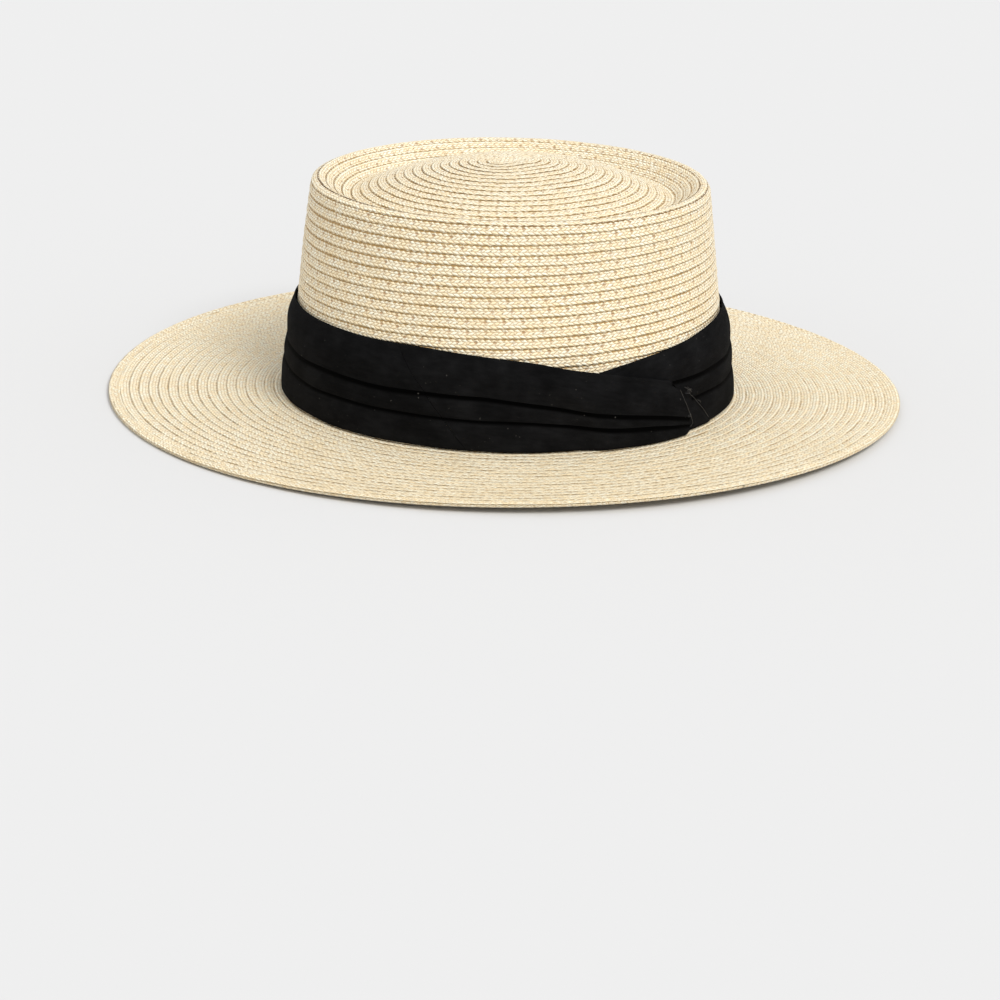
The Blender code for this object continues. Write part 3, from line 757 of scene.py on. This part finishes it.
MATERIALS = {
    "straw_braid": straw_material(),
    "straw_thread": thread_material("straw_thread", srgb(206, 182, 140), srgb(246, 232, 200)),
    "band_cloth": cloth_material("band_cloth", srgb(0, 0, 0), srgb(30, 30, 31), 0.9, 0.00042, 0.00008),
    "band_thread": thread_material("band_thread", srgb(14, 14, 15), srgb(44, 44, 46)),
    "lint": thread_material("lint", srgb(58, 56, 53), srgb(98, 95, 90)),
    "sweatband_cloth": ribbon_material(),
    "tab_cloth": cloth_material("tab_cloth", srgb(214, 208, 196), srgb(240, 236, 226), 0.7, 0.0005, 0.00008),
}


# Pieces of straw

BUTTON_END_TURN = 0.99
STRAW_NODES = ("tip_dome", "tip_channel", "crown_rim", "crown_wall", "crown_foot", "brim_inner")


def turns_at_height(z):
    """Turns at a height of the crown's wall."""
    return turns_at(float(np.interp(-z, -LINE[CREST:, 1], TRAVEL[CREST:])))


def turns_at_half_width(x):
    """Turns at a half width of the hat."""
    return turns_at(float(np.interp(x, LINE[:, 0], TRAVEL)))


def straw():
    """The whole braid, cut where the model's nodes are, with the two largest of them cut once more."""
    low, high = (dict((node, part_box(node)[i]) for node in STRAW_NODES) for i in (0, 1))
    wall_middle = (low["crown_wall"].z + high["crown_wall"].z) / 2.0
    brim_middle = (high["brim_inner"].x + BRIM_HALF_WIDTH) / 2.0
    cuts = (
        ("tip_button_braid", "tip_button", BUTTON_END_TURN),
        ("tip_dome_braid", "tip_dome", turns_at_half_width(high["tip_dome"].x)),
        ("tip_channel_braid", "tip_channel", turns_at_half_width(high["tip_channel"].x)),
        ("crown_rim_braid", "crown_rim", turns_at_height(low["crown_rim"].z)),
        ("crown_wall_braid_upper", "crown_wall", turns_at_height(wall_middle)),
        ("crown_wall_braid_lower", "crown_wall", turns_at_height(low["crown_wall"].z)),
        ("crown_foot_braid", "crown_foot", turns_at_half_width(high["crown_foot"].x)),
        ("brim_inner_braid", "brim_inner", turns_at_half_width(high["brim_inner"].x)),
        ("brim_outer_braid_near", "brim_outer", turns_at_half_width(brim_middle)),
        ("brim_outer_braid_far", "brim_outer", END_TURN),
    )
    start = 0.0
    for name, node, end in cuts:
        braid(name, node, start, end)
        start = WALK[0][WALK[0] <= end][-1]


def edge_doubling():
    """The last course, doubled under the edge of the brim."""
    around = pi * BRIM_HALF_WIDTH * (1.0 + OVAL)
    count = round(around / STRIDE)
    place = np.arange(count)
    half = EDGE_WIDTH / 2.0
    scallop = EDGE_SCALLOP_DEPTH * (0.5 + 0.5 * np.cos(2.0 * pi * place / STEPS_PER_SCALLOP))
    across = ACROSS[None] * (half + scallop[:, None])
    travel = TRAVEL[-1] - half + across
    above = EDGE_MIDDLE + HEIGHT[None] * EDGE_THICKNESS / 2.0
    points = on_straw(travel, (place / count * 2.0 * pi)[:, None], 0.0, above)
    obj = grid_mesh("brim_edge_doubling", points, closed_along=True, caps=False, flip=True)
    mark_braid(obj, place / count * around, across, END_TURN)
    return dress(obj, "straw_braid", "brim_edge_braid")


def braid_tail():
    """The far end of the braid, which narrows and is tucked in beside the doubled edge."""
    low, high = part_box("braid_end")
    first, last = (degrees(atan2(y / OVAL, x)) for x, y in ((high.x, low.y), (low.x, high.y)))
    turn = np.radians(np.linspace(first, last, TAIL_STEPS))
    share = np.linspace(0.0, 1.0, TAIL_STEPS)
    half = (TAIL_WIDTHS[0] * (1.0 - share) + TAIL_WIDTHS[1] * share)[:, None] / 2.0
    across = ACROSS[None] * half
    travel = TRAVEL[-1] - EDGE_WIDTH - TAIL_GAP - half + across
    above = TAIL_MIDDLE + HEIGHT[None] * TAIL_THICKNESS / 2.0
    points = on_straw(travel, turn[:, None], 0.0, above)
    obj = grid_mesh("braid_tail", points, flip=True)
    mark_braid(obj, (turn - turn[0]) * BRIM_HALF_WIDTH, across, END_TURN + 1.0)
    return dress(obj, "straw_braid", "braid_end")


# Threads

def tubes(name, lines, radius, sides=6):
    """Threads as one mesh: each line is an array of points, and its ends are narrowed and closed."""
    all_points, faces, start = [], [], 0
    for line in lines:
        along = np.gradient(line, axis=0)
        along /= np.linalg.norm(along, axis=1)[:, None]
        side = np.cross(along, [0.0, 0.0, 1.0])
        side /= np.maximum(np.linalg.norm(side, axis=1), 1e-9)[:, None]
        other = np.cross(along, side)
        count = len(line)
        girth = np.full(count, radius)
        girth[[0, -1]] *= THREAD_END_SHARE
        for k in range(sides):
            a = 2.0 * pi * k / sides
            all_points.append(line + girth[:, None] * (cos(a) * side + sin(a) * other))
        for k in range(sides):
            j = (k + 1) % sides
            for i in range(count - 1):
                faces.append((start + k * count + i, start + j * count + i,
                              start + j * count + i + 1, start + k * count + i + 1))
        faces.append([start + k * count for k in range(sides)][::-1])
        faces.append([start + k * count + count - 1 for k in range(sides)])
        start += sides * count
    mesh = bpy.data.meshes.new(name)
    mesh.from_pydata(np.concatenate(all_points).tolist(), [], faces)
    mesh.shade_smooth()
    obj = bpy.data.objects.new(name, mesh)
    bpy.context.scene.collection.objects.link(obj)
    return obj


def stitch_row(name, node, place, pitch, share, radius, rise):
    """A row of stitches all the way round: place(turn, above) gives points of the surface."""
    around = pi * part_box(node)[1].x * (1.0 + OVAL)
    count = round(around / pitch)
    bow = np.sin(np.linspace(0.0, pi, STITCH_STEPS)) * rise - radius * STITCH_SINK
    along = np.linspace(0.0, share, STITCH_STEPS)
    lines = [place((i + along) / count * 2.0 * pi, bow) for i in range(count)]
    obj = tubes(name, lines, radius)
    return dress(obj, "straw_thread", node)


def edge_stitches():
    """Two lines of stitching that hold the last course to its doubling."""
    for side, inset in zip(("outer", "inner"), EDGE_STITCH_INSETS):
        def place(turn, bow, travel=TRAVEL[-1] - inset):
            return on_straw(travel, turn, 0.0, EDGE_TOP + bow)

        stitch_row("brim_edge_stitches_" + side, "brim_edge_stitch_" + side, place, EDGE_STITCH_PITCH,
                   EDGE_STITCH_SHARE, EDGE_STITCH_RADIUS, EDGE_STITCH_RISE)


# Band

def band_half_width(height, depth, turn):
    """Half width of a place this high over the brim and this far out from the crown's wall."""
    pull = foot_pull(BASE_TRAVEL - height, turn)
    return wall_half_width(BRIM_TOP + height) + BAND_GAP + depth - pull


BAND_HALF_WIDTH = wall_half_width(BRIM_TOP) + BAND_GAP


def on_crown(height, depth, turn):
    """Points this high over the brim, this far out from the crown's wall, and at an angle."""
    wide = band_half_width(height, depth, turn)
    z = BRIM_TOP + height + 0.0 * turn
    return np.stack([wide * np.cos(turn), OVAL * wide * np.sin(turn), z], axis=-1)


def ease(angle, start, end, power):
    """From 0 at one angle to 1 at another, along a power curve."""
    return np.clip((angle - start) / (end - start), 0.0, 1.0) ** power


def slow_noise(angle, seed, waves=(3, 5, 8, 13)):
    """A smooth unevenness round the hat, from -1 to 1."""
    draw = np.random.default_rng(seed)
    total = np.zeros_like(angle)
    for wave in waves:
        total += np.sin(np.radians(angle) * wave + draw.uniform(0.0, 2.0 * pi))
    return total / len(waves)


def front_heights(angle):
    """Heights of the front length's top, folds and foot: it narrows to its folded end."""
    taper = ease(angle, FRONT_TAPER_START, FOLD_END, FRONT_TOP_CURVE)
    top = BAND_TOP + (FRONT_END_TOP - BAND_TOP) * taper
    taper = ease(angle, FRONT_PLEAT_START, FOLD_END, FRONT_PLEAT_CURVE)
    pleats = [h + (end - h) * taper for h, end in zip(PLEAT_HEIGHTS, FRONT_END_PLEATS)]
    return [top, *pleats, BAND_BOTTOM + 0.0 * angle]


def tail_heights(angle):
    """The same of the length round the crown, whose top is lower where it starts."""
    drop = TAIL_TOP_DROP * (1.0 - ease(angle, TAIL_START, TAIL_TAPER_END, TAIL_TOP_CURVE))
    return [BAND_TOP - drop] + [h + 0.0 * angle for h in (*PLEAT_HEIGHTS, BAND_BOTTOM)]


def uneven(heights, angle, seed):
    """The pleats' edges wander a little, less where the band is narrow, and never cross."""
    room = np.clip((heights[0] - 0.018) / 0.012, 0.15, 1.0)
    return [h + slow_noise(angle, seed + i) * size * room
            for i, (h, size) in enumerate(zip(heights, PLEAT_WANDER))]


def face_path(top, foot, inner, outer, above):
    """One visible pleat: it comes out from under the fold above it and bulges down to its own fold."""
    share = np.linspace(0.0, 1.0, PLEAT_STEPS)
    full = np.clip(np.maximum(top - foot, 1e-5) / PLEAT_FULL_HEIGHT, 0.0, 1.0)
    height = top + (foot - top) * share
    depth = inner + (outer - inner) * share ** 0.8 + PLEAT_BULGE * full * np.sin(pi * share ** 0.9)
    return list(zip(height, depth, above - height))


def tuck_path(fold, tuck):
    """Round a fold and up behind the pleat, then back to where the next pleat starts."""
    return [
        (fold, PLEAT_DEPTH - 0.0002, NO_FOLD), (fold + 0.0001, PLEAT_DEPTH - 0.00045, 0.0),
        (fold + tuck * 0.5, PLEAT_DEPTH - 0.00075, 0.0), (fold + tuck, PLEAT_DEPTH - 0.0009, 0.0),
        (fold + tuck + 0.0003, PLEAT_DEPTH - 0.00110, 0.0), (fold + tuck, PLEAT_DEPTH - 0.00132, 0.0),
    ]


def folded_path(heights):
    """The line that the folded cloth follows: height, depth, and distance under the fold above.

    The small steps in height and depth at each fold are its turn, about a cloth's thickness wide.
    """
    top, upper, lower, foot = heights
    hem = min(TOP_HEM, (top - foot) * 0.25)
    path = [(top - hem, 0.00030, NO_FOLD), (top - 0.0006, 0.00034, NO_FOLD),
            (top - 0.0001, 0.00052, NO_FOLD), (top - 0.0006, 0.00078, NO_FOLD)]
    start, above = top - 0.0016, NO_FOLD
    for fold in (upper, lower):
        tuck = min(TUCK, 0.55 * (start - fold))
        path += face_path(start, fold + 0.0002, 0.00085, PLEAT_DEPTH, above)
        path += tuck_path(fold, tuck)
        start, above = fold + min(tuck - 0.0004, tuck * 0.9), fold
    path += face_path(start, foot + 0.0002, 0.00095, PLEAT_DEPTH - 0.0001, above)
    hem = min(FOOT_HEM, (lower - foot) * 0.6)
    path += [(foot, PLEAT_DEPTH - 0.0003, NO_FOLD), (foot + 0.0002, PLEAT_DEPTH - 0.00055, 0.0),
             (foot + hem, 0.0009, 0.0)]
    return np.array(path)


def thick(path, thickness):
    """The closed outline of a line of cloth of that thickness."""
    step = np.gradient(path, axis=0)
    step /= np.maximum(np.hypot(*step.T), 1e-9)[:, None]
    side = np.stack([-step[:, 1], step[:, 0]], axis=1) * thickness / 2.0
    return np.vstack([path + side, (path - side)[::-1]])


def front_lift(angle):
    """How far the front length rises to pass over the start of the other one."""
    return FRONT_LIFT * soft(ease(angle, *FRONT_RAMP, 1.0))


def no_lift(angle):
    """The length round the crown lies on it everywhere."""
    return 0.0 * angle


def bias_seam(height, side):
    """The angle of one side of the slanting seam, at a height."""
    slant = BIAS_SEAM_SLANT * (0.5 - height / BAND_TOP)
    return BIAS_SEAM + slant + side * degrees(BIAS_SEAM_HALF_GAP / BAND_HALF_WIDTH)


def fold_angle(height):
    """Where the front length ends: its corners are rounded off."""
    upper = min(1.0, max(0.0, height / FRONT_END_TOP)) ** 4
    lower = max(0.0, 1.0 - height / FOLD_LOWER_CORNER_HEIGHT) ** 2
    return FOLD_END - FOLD_CORNER * upper - FOLD_LOWER_CORNER * lower


def ripple(turn, height):
    """A slight waviness of the band's cloth."""
    return sum(size * np.sin(turn * rate + height * rise) for size, rate, rise in CLOTH_RIPPLES)


def pinched(depth, left):
    """Depths this far from the folded end, where the folds come together to one rounded edge."""
    squeeze = np.sqrt(1.0 - (1.0 - min(left / END_ROUND, 1.0)) ** 2)
    return END_DEPTH + (depth - END_DEPTH) * max(squeeze, END_PINCH)


def band_shares(step_share):
    """Places along a length of the band, from 0 to 1, with five more close to each end."""
    shares = np.linspace(0.0, 1.0, int(1.0 / step_share) + 1)
    ends = np.linspace(0.0, 0.5, 6)[1:] * step_share
    return np.unique(np.concatenate([shares, ends, 1.0 - ends]))


def band_run(name, node, heights_at, lift_at, start_at, end_at, step, seed, folded_end):
    """A length of the pleated band, as one folded cloth lofted round the crown."""
    first, last = start_at(BAND_TOP / 2.0), end_at(BAND_TOP / 2.0)
    shares = band_shares(step / (last - first))
    angles = first + (last - first) * shares
    heights = np.array(uneven([h + 0.0 * angles for h in heights_at(angles)], angles, seed))
    rings, marks = [], []
    for share, lift, section_heights in zip(shares, lift_at(angles), heights.T):
        path = folded_path(section_heights)
        height, depth = thick(path[:, :2], CLOTH).T
        if folded_end:
            depth = pinched(depth, (1.0 - share) * radians(last - first) * BAND_HALF_WIDTH)
        turn = np.array([radians(start_at(h) * (1.0 - share) + end_at(h) * share) for h in height])
        out = depth + lift + ripple(turn, height) * np.clip(depth / PLEAT_DEPTH, 0.0, 1.0)
        rings.append(on_crown(height, out, turn))
        run = np.concatenate([[0.0], np.cumsum(np.hypot(*np.diff(path[:, :2], axis=0).T))])
        across = np.concatenate([run, run[::-1]])
        below = np.concatenate([path[:, 2], path[::-1, 2]])
        marks.append(np.stack([turn * BAND_HALF_WIDTH, across, below], axis=-1))
    obj = grid_mesh(name, np.array(rings))
    store(obj, "cloth", np.array(marks))
    return dress(obj, "band_cloth", node)


def band():
    """The band's two lengths, and its end folded under."""
    front = band_run("band_front_pleats", "band_front_run", front_heights, front_lift,
                     lambda h: bias_seam(h, 1.0), fold_angle, FRONT_STEP, 11, True)
    around = band_run("band_round_pleats", "band_round_run", tail_heights, no_lift,
                      lambda h: TAIL_START, lambda h: 360.0 + bias_seam(h, -1.0), ROUND_STEP, 11, False)
    flap = end_fold()


def end_fold():
    """The end of the band, folded under: a triangle that shows past the fold."""
    start, foot_end = FLAP_ANGLES
    heights = np.linspace(BAND_BOTTOM, FLAP_TOP, FLAP_ROWS)
    slope = (FLAP_TOP_ANGLE - foot_end) / (FLAP_TOP - BAND_BOTTOM)
    end = foot_end + slope * (heights - BAND_BOTTOM)
    rings = []
    for share in np.linspace(0.0, 1.0, FLAP_STEPS):
        turn = np.radians(start * (1.0 - share) + end * share)
        crease = 0.0003 * np.sin(share * 7.0 + heights * 300.0) + 0.0004 * share * (1.0 - share)
        half = FLAP_THICKNESS / 2.0 * np.sqrt(1.0 - (0.98 * share) ** 6)
        outer, inner = (on_crown(heights, FLAP_DEPTH + crease + x, turn) for x in (half, -half))
        rings.append(np.vstack([outer, inner[::-1]]))
    points = np.array(rings)
    obj = grid_mesh("band_fold_flap", points)
    turn = np.arctan2(points[..., 1] / OVAL, points[..., 0])
    far = np.full_like(turn, NO_FOLD)
    store(obj, "cloth", np.stack([turn * BAND_HALF_WIDTH, points[..., 2], far], axis=-1))
    return dress(obj, "band_cloth", "band_end_fold")


def tacks():
    """Hidden stitches that hold the band's top to the straw, at four places."""
    share = np.linspace(0.0, 1.0, TACK_STEPS)
    for place, angle in TACK_ANGLES.items():
        node = "band_tack_" + place
        top = BAND_TOP if place == "front" else float(tail_heights(np.array(angle))[0])
        height = top + TACK_HEIGHTS[0] * (1.0 - share) + TACK_HEIGHTS[1] * share
        depth = 0.0004 * np.sin(share * 2.0 * pi) - 0.0001
        lines = [on_crown(height, depth, radians(angle + shift) + share * TACK_SLANT)
                 for shift in TACK_SHIFTS]
        obj = tubes(node + "_thread", lines, TACK_RADIUS)
        dress(obj, "band_thread", node)


def fold_stitches():
    """Two pairs of threads that go over the fold and down on the cloth beside it."""
    above = FRONT_LIFT + PLEAT_DEPTH
    below = PLEAT_DEPTH + 0.0006
    route = [(-1.7, above - 0.0002), (-1.2, above + 0.0003), (-0.5, above + 0.0003), (0.1, above),
             (0.45, above - 0.0009), (0.8, below + 0.0006), (1.3, below + 0.0004),
             (1.9, below + 0.0003), (2.4, below - 0.0002)]
    angles, depths = np.array(route).T
    angles = angles + FOLD_END
    for place, height in FOLD_STITCH_HEIGHTS.items():
        lines = [on_crown(height + shift + 0.0004 * np.sin(angles), depths, np.radians(angles))
                 for shift in (0.0, 0.0006)]
        obj = tubes("fold_stitch_thread_" + place, lines, FOLD_STITCH_RADIUS)
        dress(obj, "band_thread", "fold_stitch_" + place)


def loose_ends():
    """Frayed threads at the fold: some loose ends, and one pulled along each edge of the fold."""
    draw = np.random.default_rng(21)
    ends = (                    # height and angle of each thread's two ends
        ((0.0200, 13.0), (0.0165, 16.0)), ((0.0186, 14.0), (0.0180, 17.0)),
        ((0.0115, 20.5), (0.0098, 22.0)), ((0.0030, 15.8), (0.0024, 17.6)),
        ((0.0196, 11.5), (0.0030, 15.9)), ((0.0190, 14.6), (0.0020, 25.6)),
    )
    share = np.linspace(0.0, 1.0, 17)
    lines = []
    for (height, angle), (height_end, angle_end) in ends:
        bend = draw.uniform(-0.0007, 0.0007) * np.sin(share * pi) + 0.0001 * np.sin(share * 19.0)
        angles = angle + share * (angle_end - angle)
        heights = height + share * (height_end - height) + bend
        over = np.clip((FOLD_END + 0.8 - angles) / 0.8, 0.0, 1.0)
        depth = FRONT_LIFT * over + PLEAT_DEPTH + 0.0009 + 0.0003 * np.sin(share * pi)
        lines.append(on_crown(heights, depth, np.radians(angles)))
    obj = tubes("loose_thread_ends", lines, LOOSE_THREAD_RADIUS, sides=5)
    dress(obj, "band_thread")
    obj.data.materials[0] = MATERIALS["lint"]


# Inside the crown

def in_crown(height, depth, turn):
    """Points this high over the brim and this far in from the inner side of the straw, at an angle."""
    wide = wall_half_width(BRIM_TOP + height) - STRAW_THICKNESS - LINING_GAP - depth
    wide = wide - foot_pull(BASE_TRAVEL - height, turn)
    z = BRIM_TOP + height + 0.0 * wide
    return np.stack([wide * np.cos(turn), OVAL * wide * np.sin(turn), z], axis=-1)


def lining(name, node, depths, angles, step, slot, bow=0.0):
    """A strip of cloth as tall as its node against the inside of the crown, with soft edges."""
    low, high = (corner.z - BRIM_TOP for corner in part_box(node))
    turn = np.radians(np.arange(angles[0], angles[1] + step / 2.0, step))
    turn[-1] = radians(angles[1])
    turn = turn[:, None]
    rise = np.linspace(low, high, LINING_POINTS)[None]
    share = (rise - low) / (high - low)
    soft_edge = 0.25 + 0.75 * np.sqrt(np.clip(1.0 - (2.0 * share - 1.0) ** 8, 0.0, 1.0))
    half = (depths[1] - depths[0]) / 2.0 * soft_edge
    middle = (depths[0] + depths[1]) / 2.0 + bow * np.sin(pi * share)
    middle = middle + LINING_RIPPLE * np.sin(turn * 23.0 + rise * 90.0) * share
    outer, inner = (in_crown(rise, middle + side * half, turn) for side in (-1.0, 1.0))
    points = np.concatenate([outer, inner[:, ::-1]], axis=1)
    obj = grid_mesh(name, points)
    around = turn * wall_half_width(BRIM_TOP) + 0.0 * points[..., 0]
    far = np.full_like(around, NO_FOLD)
    store(obj, "cloth", np.stack([around, points[..., 2], far], axis=-1))
    return dress(obj, slot, node)


def inside():
    """The sweatband, the tape over its join, and the blank tab."""
    gap = degrees(LINING_GAP / WALL_LOW.x)
    ribbon = lining("sweatband_ribbon", "sweatband", SWEATBAND_DEPTHS, (90.0 + gap, 450.0 - gap), 1.5,
                    "sweatband_cloth", bow=0.0002)
    half = degrees(TAPE_WIDTH / WALL_LOW.x) / 2.0
    tape = lining("sweatband_join_tape", "sweatband_join", TAPE_DEPTHS, (90.0 - half, 90.0 + half), 0.5,
                  "sweatband_cloth")
    low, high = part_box("size_tab")
    half = degrees(TAB_WIDTH / WALL_LOW.x) / 2.0
    middle = degrees(atan2((low.y + high.y) / 2.0 / OVAL, (low.x + high.x) / 2.0))
    tab = lining("blank_size_tab", "size_tab", TAB_DEPTHS, (middle - half, middle + half), 0.5,
                 "tab_cloth", bow=0.0003)


def sweatband_seam():
    """The stitches that hold the sweatband near its foot."""
    low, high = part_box("sweatband_stitch")
    height = (low.z + high.z) / 2.0 - BRIM_TOP

    def place(turn, bow):
        return in_crown(height, SEAM_DEPTH + bow, turn)

    stitch_row("sweatband_stitches", "sweatband_stitch", place, SEAM_PITCH, SEAM_SHARE, SEAM_RADIUS,
               SEAM_RISE)


# Camera, floor and light

VIEW_AZIMUTH = radians(56.0)
VIEW_ELEVATION = radians(18.95)
VIEW_ROLL = radians(1.53)
VIEW_DISTANCE = 1.2109
VIEW_RIGHT = -0.0010
VIEW_UP = -0.0467
LENS = 103.07
SENSOR = 36.0
FLOOR_HALF_WIDTH = 9.0
FLOOR_GREY = (0.66, 0.66, 0.66, 1.0)


def camera():
    """The camera of the photo, as fitted to the hat's outline."""
    a, e = VIEW_AZIMUTH, VIEW_ELEVATION
    back = Vector((sin(a) * cos(e), -cos(a) * cos(e), sin(e)))
    right = Vector((cos(a), sin(a), 0.0))
    up = back.cross(right)
    data = bpy.data.cameras.new("camera")
    data.lens = LENS
    data.sensor_width = SENSOR
    data.clip_start = 0.05
    obj = bpy.data.objects.new("camera", data)
    bpy.context.scene.collection.objects.link(obj)
    turned_right = right * cos(VIEW_ROLL) + up * sin(VIEW_ROLL)
    turned_up = up * cos(VIEW_ROLL) - right * sin(VIEW_ROLL)
    axes = Matrix((turned_right, turned_up, back)).transposed()
    place = back * VIEW_DISTANCE + right * VIEW_RIGHT + up * VIEW_UP
    obj.matrix_world = Matrix.Translation(place) @ axes.to_4x4()
    bpy.context.scene.camera = obj


def floor():
    """A wide pale floor, level with the lowest point of the hat."""
    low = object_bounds()[0].z
    wide = FLOOR_HALF_WIDTH
    points = np.array([[(x, y, low) for x in (-wide, wide)] for y in (-wide, wide)])
    obj = grid_mesh("floor", points, closed_across=False, caps=False, flip=True)
    n = Nodes("pale_floor")
    n.set(Base_Color=FLOOR_GREY, Roughness=0.9, Specular_IOR_Level=0.0)
    obj.data.materials.append(n.material)
    obj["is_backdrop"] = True


def sun(name, azimuth, elevation, strength, spread):
    """A soft light from far away: its azimuth turns with the camera's, 0 being behind the camera."""
    data = bpy.data.lights.new(name, "SUN")
    data.energy = strength
    data.angle = radians(spread)
    obj = bpy.data.objects.new(name, data)
    a = VIEW_AZIMUTH + radians(azimuth)
    e = radians(elevation)
    direction = Vector((sin(a) * cos(e), -cos(a) * cos(e), sin(e)))
    obj.rotation_euler = direction.to_track_quat("Z", "Y").to_euler()
    bpy.context.scene.collection.objects.link(obj)


def light():
    """An even studio light, and one soft sun from the right of the camera."""
    world = bpy.data.worlds.new("studio")
    world.use_nodes = True
    background = world.node_tree.nodes["Background"]
    background.inputs["Color"].default_value = (1.0, 1.0, 1.0, 1.0)
    background.inputs["Strength"].default_value = 0.86
    bpy.context.scene.world = world
    sun("key", 38.0, 48.0, 1.9, 24.0)
    bpy.context.scene.view_settings.view_transform = "Standard"


straw()
edge_doubling()
braid_tail()
edge_stitches()
band()
tacks()
fold_stitches()
loose_ends()
inside()
sweatband_seam()
camera()
floor()
light()
